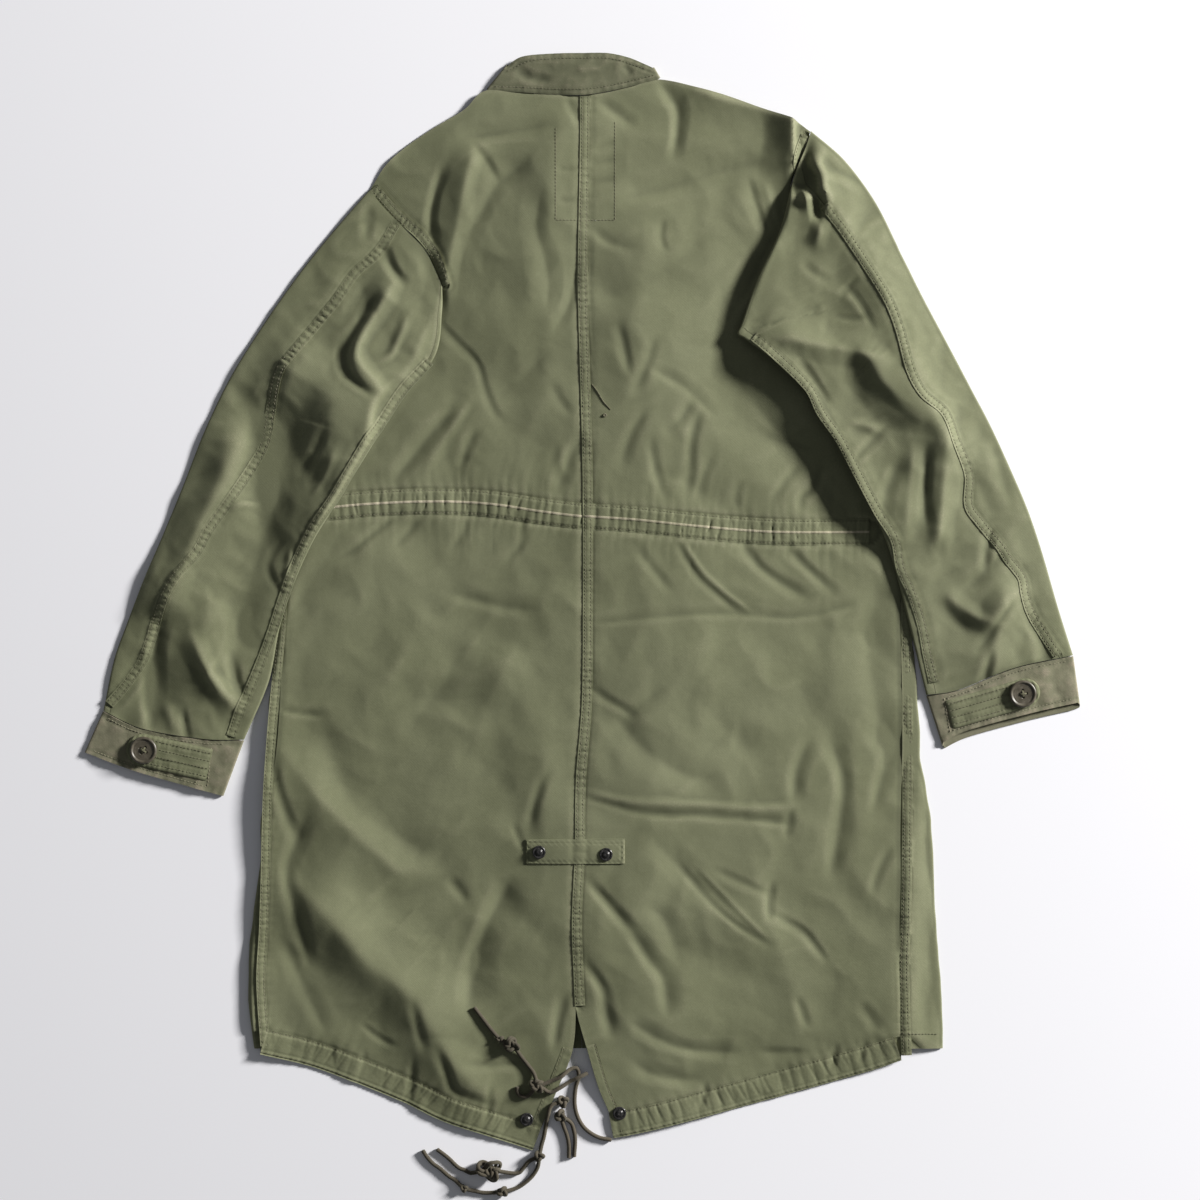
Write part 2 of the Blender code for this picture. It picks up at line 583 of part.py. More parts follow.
def make_collar():
    """A standing band laid flat, its front ends underneath: it turns over at both sides of the neck."""
    across = (0, 0.33, 0.67, 1)
    sections = []

    def add(seam, top, outer_z, inner_z, shift=(0, 0), inner_shift=(0, 0)):
        row = []
        for share in across:
            x, y = mix(seam, top, share)
            outer = (x + shift[0], y + shift[1], outer_z)
            inner = (x + inner_shift[0], y + inner_shift[1], inner_z)
            row.append((share, outer, inner))
        sections.append(row)

    def turn(first, second, direction, upwards):
        """The half turn from one layer to the other, bulging outwards from the fold line."""
        for k in range(1, 4):
            angle = math.pi * k / 4
            share = k / 4
            rise = -upwards * math.cos(angle)
            out = math.sin(angle)
            add(mix(first.seam, second.seam, share), mix(first.top, second.top, share),
                BAND_RADIUS + BAND_RADIUS * rise, BAND_RADIUS + GAP / 2 * rise,
                (direction[0] * BAND_RADIUS * out, direction[1] * BAND_RADIUS * out),
                (direction[0] * GAP / 2 * out, direction[1] * GAP / 2 * out))

    for row in COLLAR_UNDER_LEFT:
        add(row.seam, row.top, 0, BAND)
    turn(COLLAR_UNDER_LEFT[-1], COLLAR_BACK[0], (-0.78, 0.62), 1)
    for k, row in enumerate(COLLAR_BACK):
        top = 2 * BAND_RADIUS + COLLAR_RISE * math.sin(math.pi * k / (len(COLLAR_BACK) - 1))
        add(row.seam, row.top, top, top - BAND)
    turn(COLLAR_BACK[-1], COLLAR_UNDER_RIGHT[0], (0.86, 0.5), -1)
    for row in COLLAR_UNDER_RIGHT:
        add(row.seam, row.top, 0, BAND)
    return cloth("collar", sections, "band")


# --- sleeves ---

def sleeve_heights(row, trees):
    """The row's width, and its lower and upper outside heights at a distance from its outer edge."""
    width = lengths(row.line)[-1]

    def low(distance):
        share = distance / width
        x, y = along(row.line, share)
        lift = 1.0 if row.lift_from < 0 else smooth((share - row.lift_from) / 0.35)
        return drape(trees, x, y) * lift

    def high(distance):
        share = min(max(distance / width, 0.0), 1.0)
        x, y = along(row.line, share)
        belly = math.sin(math.pi * share) ** 0.6 if 0 < share < 1 else 0.0
        edge = smooth(min(distance, width - distance) / 20)
        rise = max(row.rise * belly + edge * fold_height(x, y, SLEEVE_FOLDS), 0.0)
        return low(distance) + FOLD + rise

    return width, low, high


def sleeve_under_path(row, width, low, high):
    """The outside and inside of the sleeve's under piece, as (distance, height) pairs round its row.

    It starts on top at the elbow seam, turns round the outer edge, runs underneath, turns round the
    inner edge and ends on top at the underarm seam.
    """
    path = []
    elbow = max(row.elbow * width - GAP / 2, FOLD_RADIUS + 4)
    for k in range(4):
        distance = elbow + (FOLD_RADIUS - elbow) * k / 3
        z = high(distance) if k < 3 else low(FOLD_RADIUS) + FOLD
        path.append(((distance, z), (distance, z - CLOTH)))
    middle = low(FOLD_RADIUS) + FOLD_RADIUS
    for k in range(1, 4):
        out, up = math.sin(math.pi * k / 4), math.cos(math.pi * k / 4)
        path.append(((FOLD_RADIUS * (1 - out), middle + FOLD_RADIUS * up),
                     (FOLD_RADIUS - GAP / 2 * out, middle + GAP / 2 * up)))
    for k in range(11):
        distance = FOLD_RADIUS + (width - 2 * FOLD_RADIUS) * k / 10
        z = low(distance)
        path.append(((distance, z), (distance, z + CLOTH)))
    middle = low(width - FOLD_RADIUS) + FOLD_RADIUS
    for k in range(1, 4):
        out, up = math.sin(math.pi * k / 4), -math.cos(math.pi * k / 4)
        path.append(((width - FOLD_RADIUS * (1 - out), middle + FOLD_RADIUS * up),
                     (width - FOLD_RADIUS + GAP / 2 * out, middle + GAP / 2 * up)))
    underarm = min(row.underarm * width + GAP / 2, width - FOLD_RADIUS - 2)
    for distance, z in ((width - FOLD_RADIUS, low(width - FOLD_RADIUS) + FOLD), (underarm, high(underarm))):
        path.append(((distance, z), (distance, z - CLOTH)))
    return path, elbow, underarm


def make_sleeve(side, trees):
    """The two pieces of a sleeve: one turns round its outer edge and lies underneath, one lies on top."""
    under_rows = []
    upper_rows = []
    for row in SLEEVES[side]:
        width, low, high = sleeve_heights(row, trees)

        def point(distance, z):
            x, y = along(row.line, distance / width)
            return (x, y, z)

        path, elbow, underarm = sleeve_under_path(row, width, low, high)
        under_rows.append([(k / (len(path) - 1), point(*outside), point(*inside))
                           for k, (outside, inside) in enumerate(path)])
        start = elbow + GAP
        end = underarm - GAP
        upper_row = []
        for k in range(SLEEVE_COLUMNS + 1):
            distance = start + (end - start) * k / SLEEVE_COLUMNS
            z = high(distance)
            upper_row.append((k / SLEEVE_COLUMNS, point(distance, z), point(distance, z - CLOTH)))
        upper_rows.append(upper_row)
    cloth("sleeve_front_" + side, under_rows)
    cloth("sleeve_back_" + side, upper_rows)


def make_cuff(side):
    """A closed band round the sleeve's end, laid flat."""
    cuff = CUFFS[side]
    rows = []
    for share in (0, 0.5, 1):
        line = [mix(a, b, share) for a, b in zip(cuff.seam, cuff.edge)]
        width = lengths(line)[-1]
        path = []

        def put(distance, z, inner_distance, inner_z, shift):
            x, y = along(line, distance / width)
            u, v = along(line, inner_distance / width)
            dx, dy = (part * shift * share for part in cuff.under_shift)
            path.append(((x + dx, y + dy, z), (u + dx, v + dy, inner_z)))

        span = width - 2 * BAND_RADIUS
        for k in range(7):
            distance = BAND_RADIUS + span * k / 6
            z = 2 * BAND_RADIUS + CUFF_RISE * math.sin(math.pi * k / 6)
            put(distance, z, distance, z - BAND, 0)
        for k in range(1, 4):
            angle = math.pi * k / 4
            put(width - BAND_RADIUS * (1 - math.sin(angle)), BAND_RADIUS * (1 + math.cos(angle)),
                width - BAND_RADIUS + GAP / 2 * math.sin(angle), BAND_RADIUS + GAP / 2 * math.cos(angle),
                k / 4)
        for k in range(7):
            distance = width - BAND_RADIUS - span * k / 6
            put(distance, 0, distance, BAND, 1)
        for k in range(1, 4):
            angle = math.pi * k / 4
            put(BAND_RADIUS * (1 - math.sin(angle)), BAND_RADIUS * (1 - math.cos(angle)),
                BAND_RADIUS - GAP / 2 * math.sin(angle), BAND_RADIUS - GAP / 2 * math.cos(angle),
                1 - k / 4)
        rows.append([(k / len(path), outer, inner) for k, (outer, inner) in enumerate(path)])
    return cloth("cuff_" + side, rows, "band", closed=True)


def make_tab(side, trees):
    """The cuff's tab: a strap that lies on the cuff and ends in a round tip."""
    cuff = CUFFS[side]
    root = Vector(cuff.tab_root)
    tip = Vector(cuff.tab_tip)
    length = (tip - root).length
    forward = (tip - root).normalized()
    sideways = Vector((-forward.y, forward.x))
    half = cuff.tab_width / 2
    rows = []
    for k in range(TAB_SECTIONS):
        reach = length * (1 - (1 - k / (TAB_SECTIONS - 1)) ** 1.6)
        from_tip = length - reach
        if from_tip >= half:
            width = half
        else:
            width = max(math.sqrt(half ** 2 - (half - from_tip) ** 2), 3.0)
        row = []
        for share in (0, 0.25, 0.5, 0.75, 1):
            spot = root + forward * reach + sideways * width * (1 - 2 * share)
            z = highest_near(trees, spot.x, spot.y, 5) + GAP
            row.append((share, (spot.x, spot.y, z + BAND), (spot.x, spot.y, z)))
        rows.append(row)
    tab = cloth("cuff_tab_" + side, rows, "band")
    middle = tip - forward * BUTTON_INSET
    z = highest_near([tree_of(tab)], middle.x, middle.y, BUTTON_RADIUS * 0.8) + GAP
    turned("cuff_button_" + side, BUTTON_PROFILE, BUTTON_SIDES, (middle.x, middle.y, z), "button")
    return tab


# --- small pieces ---

def turned(name, profile, sides, middle, kind):
    """A body turned about Z from a profile of (radius, height) that starts and ends on the axis."""
    shape = bmesh.new()
    rings = []
    for radius, height in profile:
        if radius == 0:
            rings.append([shape.verts.new((middle[0], middle[1], middle[2] + height))])
            continue
        ring = []
        for k in range(sides):
            angle = 2 * math.pi * k / sides
            ring.append(shape.verts.new((middle[0] + radius * math.cos(angle),
                                         middle[1] + radius * math.sin(angle), middle[2] + height)))
        rings.append(ring)
    for low, high in zip(rings, rings[1:]):
        for k in range(sides):
            after = (k + 1) % sides
            if len(low) == 1:
                shape.faces.new((low[0], high[after], high[k]))
            elif len(high) == 1:
                shape.faces.new((low[k], low[after], high[0]))
            else:
                shape.faces.new((low[k], low[after], high[after], high[k]))
    return place(name, shape, kind)


def make_snap_strip(trees):
    """A short strip of cloth across the centre seam, made from the back's own heights."""
    rows = []
    for j in range(3):
        y = STRIP_Y[0] + (STRIP_Y[1] - STRIP_Y[0]) * j / 2
        row = []
        for k in range(9):
            x = STRIP_X[0] + (STRIP_X[1] - STRIP_X[0]) * k / 8
            z = highest_near(trees, x, y, 7) + GAP
            row.append((k / 8, (x, y, z + CLOTH), (x, y, z)))
        rows.append(row)
    return cloth("snap_strip", rows)


def make_knot(name, knot, trees):
    """A knot's outer shape, a rounded lump that lies on what is under it, and the knot's middle."""
    shape = bmesh.new()
    bmesh.ops.create_uvsphere(shape, u_segments=10, v_segments=7, radius=1)
    floor = lies_at(trees, knot.x, knot.y, 0.8 * min(knot.rx, knot.ry))
    middle = Vector((knot.x, knot.y, floor + knot.rz))
    bmesh.ops.scale(shape, vec=(knot.rx, knot.ry, knot.rz), verts=shape.verts)
    bmesh.ops.translate(shape, vec=middle, verts=shape.verts)
    return place(name, shape, "cord"), middle


def meet(spot, tree, middle):
    """Where a cord that comes from a spot towards a knot's middle ends, its flat end clear of the knot."""
    way = (middle - spot).normalized()
    hit, normal, _, _ = tree.ray_cast(spot * MM, way)
    facing = abs(way.dot(normal))
    slant = math.sqrt(1 - facing ** 2) / facing
    return hit / MM - way * (GAP + CORD / 2 * slant)


def spline(points, step):
    """Points at even steps on a smooth curve through the given ones."""
    fine = []
    last = len(points) - 1
    for k in range(last):
        a, b, c, d = (Vector(points[min(max(k + i, 0), last)]) for i in (-1, 0, 1, 2))
        for part in range(12):
            t = part / 12
            fine.append(0.5 * ((2 * b) + (c - a) * t + (2 * a - 5 * b + 4 * c - d) * t ** 2
                               + (3 * b - a - 3 * c + d) * t ** 3))
    fine.append(Vector(points[last]))
    total = lengths(fine)[-1]
    count = max(2, round(total / step))
    return [along(fine, k / count) for k in range(count + 1)]


def make_cord(name, stretch, trees, knots):
    """A round cord along a stretch, which lies on what is under it and meets the knots at its ends."""
    def rest_at(x, y):
        return lies_at(trees, x, y, CORD) + CORD / 2

    route = [Vector((x, y, rest_at(x, y) + lift)) for x, y, lift in stretch.points]
    if stretch.start:
        route.insert(0, meet(route[0], *knots[stretch.start]))
    if stretch.end:
        route.append(meet(route[-1], *knots[stretch.end]))
    spots = spline(route, CORD_STEP)
    data = bpy.data.curves.new(name, "CURVE")
    data.dimensions = "3D"
    data.bevel_depth = CORD / 2 * MM
    data.bevel_resolution = CORD_SIDES_RESOLUTION
    data.use_fill_caps = True
    track = data.splines.new("POLY")
    track.points.add(len(spots) - 1)
    for point, (x, y, z) in zip(track.points, spots):
        point.co = (x * MM, y * MM, max(z, rest_at(x, y)) * MM, 1)
    data.materials.append(make_material(name, "cord"))
    thing = bpy.data.objects.new(name, data)
    bpy.context.scene.collection.objects.link(thing)


def main():
    clear_scene()
    body = [make_front("left"), make_front("right"), make_back("left"), make_back("right")]
    body_trees = [tree_of(thing) for thing in body]
    make_collar()
    for side in ("left", "right"):
        make_sleeve(side, body_trees)
        cuff = make_cuff(side)
        make_tab(side, [tree_of(cuff)])
    strip = make_snap_strip(body_trees)
    snap_trees = body_trees + [tree_of(strip)]
    for name, (x, y) in SNAPS.items():
        z = highest_near(snap_trees, x, y, SNAP_RADIUS) + GAP
        turned(name, SNAP_PROFILE, SNAP_SIDES, (x, y, z), "snap")
    knots = {}
    for name, knot in KNOTS.items():
        lump, middle = make_knot(name, knot, body_trees)
        knots[name] = (tree_of(lump), middle)
    for name, stretch in CORDS.items():
        make_cord(name, stretch, body_trees, knots)


main()
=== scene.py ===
# Olive fishtail parka laid flat with its back up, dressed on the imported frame.
# Tables and shapes are in millimetres; buildMesh turns them into metres.

import math

import bmesh
import bpy
import numpy as np
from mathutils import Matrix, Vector
from mathutils.bvhtree import BVHTree


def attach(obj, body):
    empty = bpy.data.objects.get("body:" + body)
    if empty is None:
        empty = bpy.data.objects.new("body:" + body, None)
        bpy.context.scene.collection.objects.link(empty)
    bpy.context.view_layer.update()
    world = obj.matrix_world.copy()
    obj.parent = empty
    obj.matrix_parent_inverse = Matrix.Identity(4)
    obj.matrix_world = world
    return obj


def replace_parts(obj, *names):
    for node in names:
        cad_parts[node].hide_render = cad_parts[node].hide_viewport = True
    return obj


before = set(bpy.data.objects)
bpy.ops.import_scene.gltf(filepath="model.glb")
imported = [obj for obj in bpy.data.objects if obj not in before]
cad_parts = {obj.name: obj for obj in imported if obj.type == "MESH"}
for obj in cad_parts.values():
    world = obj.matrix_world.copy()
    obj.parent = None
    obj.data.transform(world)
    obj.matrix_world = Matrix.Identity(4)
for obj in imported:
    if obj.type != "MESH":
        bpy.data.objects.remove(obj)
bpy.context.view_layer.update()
print("frame loaded")

mm = 0.001
seamGap = 0.3  # the pieces of a seam stay this far apart


# camera, straight above as in the photo
cameraSetup = {"x": 17.3, "y": 0.0, "height": 2400.0, "across": 1152.0}


def makeCamera(setup):
    data = bpy.data.cameras.new("camera")
    data.sensor_width = 36.0
    data.lens = 36.0 * setup["height"] / setup["across"]
    camera = bpy.data.objects.new("camera", data)
    camera.location = Vector((setup["x"], setup["y"], setup["height"])) * mm
    bpy.context.scene.collection.objects.link(camera)
    bpy.context.scene.camera = camera


makeCamera(cameraSetup)


# lines and grids

def smoothStep(value):
    value = np.clip(value, 0.0, 1.0)
    return value * value * (3 - 2 * value)


def curvePart(a, b, c, d, t):
    # the stretch from b to c of a smooth curve through a, b, c and d
    return 0.5 * (2 * b + (c - a) * t + (2 * a - 5 * b + 4 * c - d) * t ** 2
                  + (3 * b - a - 3 * c + d) * t ** 3)


def marksOf(line):
    return np.r_[0, np.cumsum(np.linalg.norm(np.diff(line, axis=0), axis=1))]


def lineThrough(points, step=None, count=None):
    # even points on a smooth curve through the given ones
    points = np.array(points, float)
    ends = np.vstack([2 * points[0] - points[1], points, 2 * points[-1] - points[-2]])
    t = np.linspace(0, 1, 13)[:-1, None]
    fine = [curvePart(*ends[k:k + 4], t) for k in range(len(points) - 1)]
    fine = np.vstack(fine + [points[-1:]])
    marks = marksOf(fine)
    if count is None:
        count = max(2, round(marks[-1] / step)) + 1
    at = np.linspace(0, marks[-1], count)
    return np.stack([np.interp(at, marks, column) for column in fine.T], axis=1)


def gridThrough(rows, across, pitch):
    # a fine grid on a smooth surface through a few rows of points
    rows = np.array([lineThrough(row, count=across) for row in rows])
    ends = np.concatenate([2 * rows[:1] - rows[1:2], rows, 2 * rows[-1:] - rows[-2:-1]])
    fine = []
    for k in range(len(rows) - 1):
        gap = np.linalg.norm(rows[k + 1] - rows[k], axis=1).max()
        steps = max(1, math.ceil(gap / pitch))
        fine += [curvePart(*ends[k:k + 4], part / steps) for part in range(steps)]
    return np.array(fine + [rows[-1]])


def nearRoute(route, x, y, reach):
    # which points lie within reach of a route, how far off, on which side, and how far along it
    low, high = route.min(0) - reach, route.max(0) + reach
    near = np.nonzero((x > low[0]) & (x < high[0]) & (y > low[1]) & (y < high[1]))[0]
    px, py = x[near], y[near]
    distance = np.full(len(near), np.inf)
    side = np.zeros(len(near))
    along = np.zeros(len(near))
    for (ax, ay), (bx, by), mark in zip(route, route[1:], marksOf(route)):
        dx, dy = bx - ax, by - ay
        length = math.hypot(dx, dy) + 1e-9
        t = np.clip(((px - ax) * dx + (py - ay) * dy) / length ** 2, 0, 1)
        ex, ey = px - ax - t * dx, py - ay - t * dy
        gap = np.hypot(ex, ey)
        closer = gap < distance
        distance = np.where(closer, gap, distance)
        side = np.where(closer, np.sign(dx * ey - dy * ex), side)
        along = np.where(closer, mark + t * length, along)
    keep = distance < reach
    return near[keep], distance[keep], side[keep], along[keep]


# uneven cloth

def gradientNoise(x, y, size, seed):
    # smooth noise from about -1 to 1, its bumps about size wide
    spots = np.random.default_rng(seed).uniform(0, 2 * math.pi, (64, 64))
    u, v = x / size + 31.7, y / size + 17.3
    iu, iv = np.floor(u).astype(int), np.floor(v).astype(int)
    fu, fv = u - iu, v - iv

    def corner(i, j):
        angle = spots[(iu + i) % 64, (iv + j) % 64]
        return np.cos(angle) * (fu - i) + np.sin(angle) * (fv - j)

    su, sv = fu ** 3 * (fu * (fu * 6 - 15) + 10), fv ** 3 * (fv * (fv * 6 - 15) + 10)
    low = corner(0, 0) * (1 - su) + corner(1, 0) * su
    high = corner(0, 1) * (1 - su) + corner(1, 1) * su
    return 1.5 * (low * (1 - sv) + high * sv)


def crumple(x, y, sizes, seed):
    # broad waves and finer crinkles; a height above 0 parts them by valleys, one below 0 by ridges
    warpX = x + 9 * gradientNoise(x, y, 60, seed + 50)
    warpY = y + 9 * gradientNoise(x, y, 60, seed + 51)
    total = np.zeros_like(x)
    for k, (size, height) in enumerate(sizes):
        noise = gradientNoise(warpX, warpY, size, seed + k)
        total += height * (np.sqrt(noise ** 2 + 0.004) * 2 - 0.8)
    return total


def foldHeight(x, y, folds):
    # crests (valleys below 0) along given lines; the widths are the flanks left and right of the way
    total = np.zeros_like(x)
    for leftWidth, rightWidth, height, points in folds:
        route = lineThrough(points, step=5)
        near, distance, side, along = nearRoute(route, x, y, 1.15 * max(leftWidth, rightWidth))
        length = marksOf(route)[-1]
        ends = min(0.34 * length, max(28, leftWidth, rightWidth))
        fade = smoothStep(along / ends) * smoothStep((length - along) / ends)
        width = np.where(side > 0, leftWidth, rightWidth) * (1 + 0.13 * np.sin(along / 13.0 + leftWidth))
        crest = 0.9 + 0.1 * min(leftWidth, rightWidth)
        t = np.clip((np.hypot(distance, crest) - crest) / (width - 0.6 * crest), 0, 1)
        total[near] += height * (1 - t) ** 1.5 * fade
    return total


# heights read from the frame

mapArea = {"low": (-500.0, -590.0), "high": (500.0, 545.0), "step": 3.0}


def castHeights(nodes, fromBelow=False):
    # height of the nodes' surface on a raster, nan where they aren't
    points, faces = [], []
    for node in nodes:
        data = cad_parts[node].data
        start = len(points)
        points += [vertex.co.copy() for vertex in data.vertices]
        faces += [[start + k for k in face.vertices] for face in data.polygons]
    tree = BVHTree.FromPolygons(points, faces)
    way = Vector((0, 0, 1 if fromBelow else -1))
    (left, bottom), (right, top) = mapArea["low"], mapArea["high"]
    xs = np.arange(left, right, mapArea["step"])
    ys = np.arange(bottom, top, mapArea["step"])
    heights = np.full((len(ys), len(xs)), np.nan)
    for j, y in enumerate(ys):
        for i, x in enumerate(xs):
            hit = tree.ray_cast(Vector((x * mm, y * mm, -way.z)), way)[0]
            if hit is not None:
                heights[j, i] = hit.z / mm
    return heights


def blur(values, radius):
    # Gaussian softening of a raster, radius in its steps
    reach = int(3 * radius)
    weights = np.exp(-0.5 * (np.arange(-reach, reach + 1) / radius) ** 2)
    weights /= weights.sum()
    for axis in (0, 1):
        values = sum(weight * np.roll(values, k - reach, axis) for k, weight in enumerate(weights))
    return values


def readMap(values, x, y):
    (left, bottom), step = mapArea["low"], mapArea["step"]
    u = np.clip((x - left) / step, 0, values.shape[1] - 1.001)
    v = np.clip((y - bottom) / step, 0, values.shape[0] - 1.001)
    i, j = u.astype(int), v.astype(int)
    fu, fv = u - i, v - j
    low = values[j, i] * (1 - fu) + values[j, i + 1] * fu
    high = values[j + 1, i] * (1 - fu) + values[j + 1, i + 1] * fu
    return low * (1 - fv) + high * fv


def softMap(heights, radius):
    # softened heights, carried a little way past the nodes' edges
    known = ~np.isnan(heights)
    share = blur(known.astype(float), radius)
    total = blur(np.where(known, heights, 0.0), radius)
    return total / np.maximum(share, 1e-9) * (share > 1e-9)


sides = ("left", "right")
flips = {"left": -1, "right": 1}
backMap = softMap(castHeights(["back_left", "back_right"]), 3)
frontMap = softMap(castHeights(["front_left", "front_right"]), 2)
sleeveNodes = ["sleeve_" + layer + "_" + side for layer in ("back", "front") for side in sides]
sleeveTopMap = softMap(castHeights(sleeveNodes), 3)
sleeveUnder = castHeights(sleeveNodes, fromBelow=True)
sleeveUnderMap = softMap(sleeveUnder, 3)
coverMap = blur((~np.isnan(sleeveUnder)).astype(float), 2)
print("heights read from the frame")


# materials

def addNode(tree, kind, values=(), links=(), **settings):
    # a node with its settings, its input values and what is linked to its inputs
    node = tree.nodes.new("ShaderNode" + kind)
    for name, value in settings.items():
        setattr(node, name, value)
    for socket, value in dict(values).items():
        node.inputs[socket].default_value = value
    for socket, source in dict(links).items():
        tree.links.new(source, node.inputs[socket])
    return node


def mathNode(tree, operation, first, second=None, clamp=False):
    node = tree.nodes.new("ShaderNodeMath")
    node.operation = operation
    node.use_clamp = clamp
    for socket, value in zip(node.inputs, (first, second)):
        if value is None:
            continue
        if isinstance(value, (int, float)):
            socket.default_value = value
        else:
            tree.links.new(value, socket)
    return node.outputs[0]


def mixColour(tree, share, first, second):
    node = tree.nodes.new("ShaderNodeMix")
    node.data_type = "RGBA"
    for socket, value in ((node.inputs[0], share), (node.inputs[6], first), (node.inputs[7], second)):
        if isinstance(value, (int, float)):
            socket.default_value = value
        elif isinstance(value, tuple):
            socket.default_value = (*value, 1)
        else:
            tree.links.new(value, socket)
    return node.outputs[2]


def noiseNode(tree, place, scale, detail, output="Fac", **more):
    values = {"Scale": scale, "Detail": detail, **more}
    return addNode(tree, "TexNoise", values, {"Vector": place}).outputs[output]


def rangeNode(tree, value, fromLow, fromHigh, toLow=0.0, toHigh=1.0, **settings):
    # value carried from one range to another, held at its ends
    ends = {1: fromLow, 2: fromHigh, 3: toLow, 4: toHigh}
    return addNode(tree, "MapRange", ends, {0: value}, **settings).outputs[0]


def newGroup(name, inputs, outputs):
    group = bpy.data.node_groups.new(name, "ShaderNodeTree")
    for title, kind, value in inputs:
        socket = group.interface.new_socket(title, in_out="INPUT", socket_type=kind)
        if value is not None:
            socket.default_value = value
    for title, kind in outputs:
        group.interface.new_socket(title, in_out="OUTPUT", socket_type=kind)
    return group, group.nodes.new("NodeGroupInput").outputs, group.nodes.new("NodeGroupOutput").inputs


def makeWeaveGroup():
    # plain weave: warp and weft threads that pass over each other in turn
    group, given, out = newGroup(
        "plainWeave",
        (("Threads per metre", "NodeSocketFloat", 1300.0), ("Slub", "NodeSocketFloat", 0.3)),
        (("Height", "NodeSocketFloat"), ("Thread", "NodeSocketFloat")))
    place = addNode(group, "TexCoord").outputs["Object"]
    wobble = noiseNode(group, place, 22.0, 2.0, "Color")
    bent = addNode(group, "VectorMath", {1: (0.004,) * 3}, {0: wobble}, operation="MULTIPLY").outputs[0]
    spot = addNode(group, "VectorMath", {}, {0: place, 1: bent}, operation="ADD").outputs[0]
    parts = addNode(group, "SeparateXYZ", {}, {"Vector": spot}).outputs
    scaled = mathNode(group, "MULTIPLY", given["Threads per metre"], math.pi)
    warp = mathNode(group, "SINE", mathNode(group, "MULTIPLY", parts["X"], scaled))
    weft = mathNode(group, "SINE", mathNode(group, "MULTIPLY", parts["Y"], scaled))
    over = mathNode(group, "MULTIPLY", warp, weft)
    slub = noiseNode(group, spot, 900.0, 3.0, Roughness=0.6)
    streak = addNode(group, "Mapping", {"Scale": (1.0, 14.0, 1.0)}, {"Vector": spot}).outputs[0]
    yarn = noiseNode(group, streak, 160.0, 2.0)
    uneven = mathNode(group, "MULTIPLY", mathNode(group, "ADD", slub, yarn), given["Slub"])
    group.links.new(mathNode(group, "ADD", mathNode(group, "MULTIPLY", over, 0.35), uneven), out["Height"])
    group.links.new(mathNode(group, "MULTIPLY_ADD", over, 0.5), out["Thread"])
    return group


def makeDyeAndFoldShadeGroup():
    # olive dye that has faded in clouds and rubbed pale on crests, with painted shade darkening its folds
    group, given, out = newGroup(
        "fadedDyeAndFoldShade",
        (("Dye", "NodeSocketColor", (0.13, 0.135, 0.075, 1)),
         ("Faded", "NodeSocketColor", (0.2, 0.2, 0.12, 1)),
         ("Rubbed", "NodeSocketColor", (0.3, 0.24, 0.17, 1)), ("Rub", "NodeSocketFloat", 0.5),
         ("Clouds", "NodeSocketFloat", 0.5), ("Thread", "NodeSocketFloat", 0.5)),
        (("Color", "NodeSocketColor"), ("Roughness", "NodeSocketFloat"), ("Painted fold shade", "NodeSocketFloat")))
    place = addNode(group, "TexCoord").outputs["Object"]
    wear = addNode(group, "Attribute", attribute_name="wear").outputs["Fac"]
    broad = noiseNode(group, place, 4.2, 3.0, Distortion=0.5)
    middle = noiseNode(group, place, 17.0, 2.0, Roughness=0.5)
    fine = noiseNode(group, place, 620.0, 3.0, Roughness=0.7)
    clouds = mathNode(group, "ADD", mathNode(group, "MULTIPLY", broad, 0.65),
                      mathNode(group, "MULTIPLY", middle, 0.35))
    ramp = rangeNode(group, clouds, 0.36, 0.66, interpolation_type="SMOOTHSTEP")
    amount = mathNode(group, "MULTIPLY", ramp, given["Clouds"])
    crest = rangeNode(group, wear, 0.5, 1.0)
    # painted shade mask: 1 deep in the folds, 0 on even cloth and on crests
    paintedFoldShade = rangeNode(group, wear, 0.0, 0.5, 1.0, 0.0)
    colour = mixColour(group, amount, given["Dye"], given["Faded"])
    colour = mixColour(group, mathNode(group, "MULTIPLY", crest, 0.45, True), colour, given["Faded"])
    grain = rangeNode(group, fine, 0.52, 0.75)
    rubbed = mathNode(group, "MULTIPLY", mathNode(group, "MULTIPLY", crest, given["Rub"]),
                      mathNode(group, "ADD", mathNode(group, "MULTIPLY", grain, 0.8), 0.25), True)
    colour = mixColour(group, rubbed, colour, given["Rubbed"])
    # painted shade: the folds darkened towards a dark olive
    colour = mixColour(group, mathNode(group, "MULTIPLY", paintedFoldShade, 0.35), colour, (0.045, 0.048, 0.028))
    speck = rangeNode(group, fine, 0.3, 0.7, 0.92, 1.08)
    threads = rangeNode(group, given["Thread"], -0.5, 1.0, 0.95, 1.07)
    shade = mathNode(group, "MULTIPLY", speck, threads)
    colour = addNode(group, "VectorMath", {}, {0: colour, "Scale": shade}, operation="SCALE").outputs[0]
    group.links.new(colour, out["Color"])
    rough = mathNode(group, "SUBTRACT", mathNode(group, "MULTIPLY_ADD", fine, 0.12),
                     mathNode(group, "MULTIPLY", crest, 0.06))
    group.links.new(mathNode(group, "ADD", rough, 0.24), out["Roughness"])
    group.links.new(paintedFoldShade, out["Painted fold shade"])
    return group


def newMaterial(name):
    # a new material, its node tree and its shader's inputs
    material = bpy.data.materials.new(name)
    material.use_nodes = True
    return material, material.node_tree, material.node_tree.nodes["Principled BSDF"].inputs


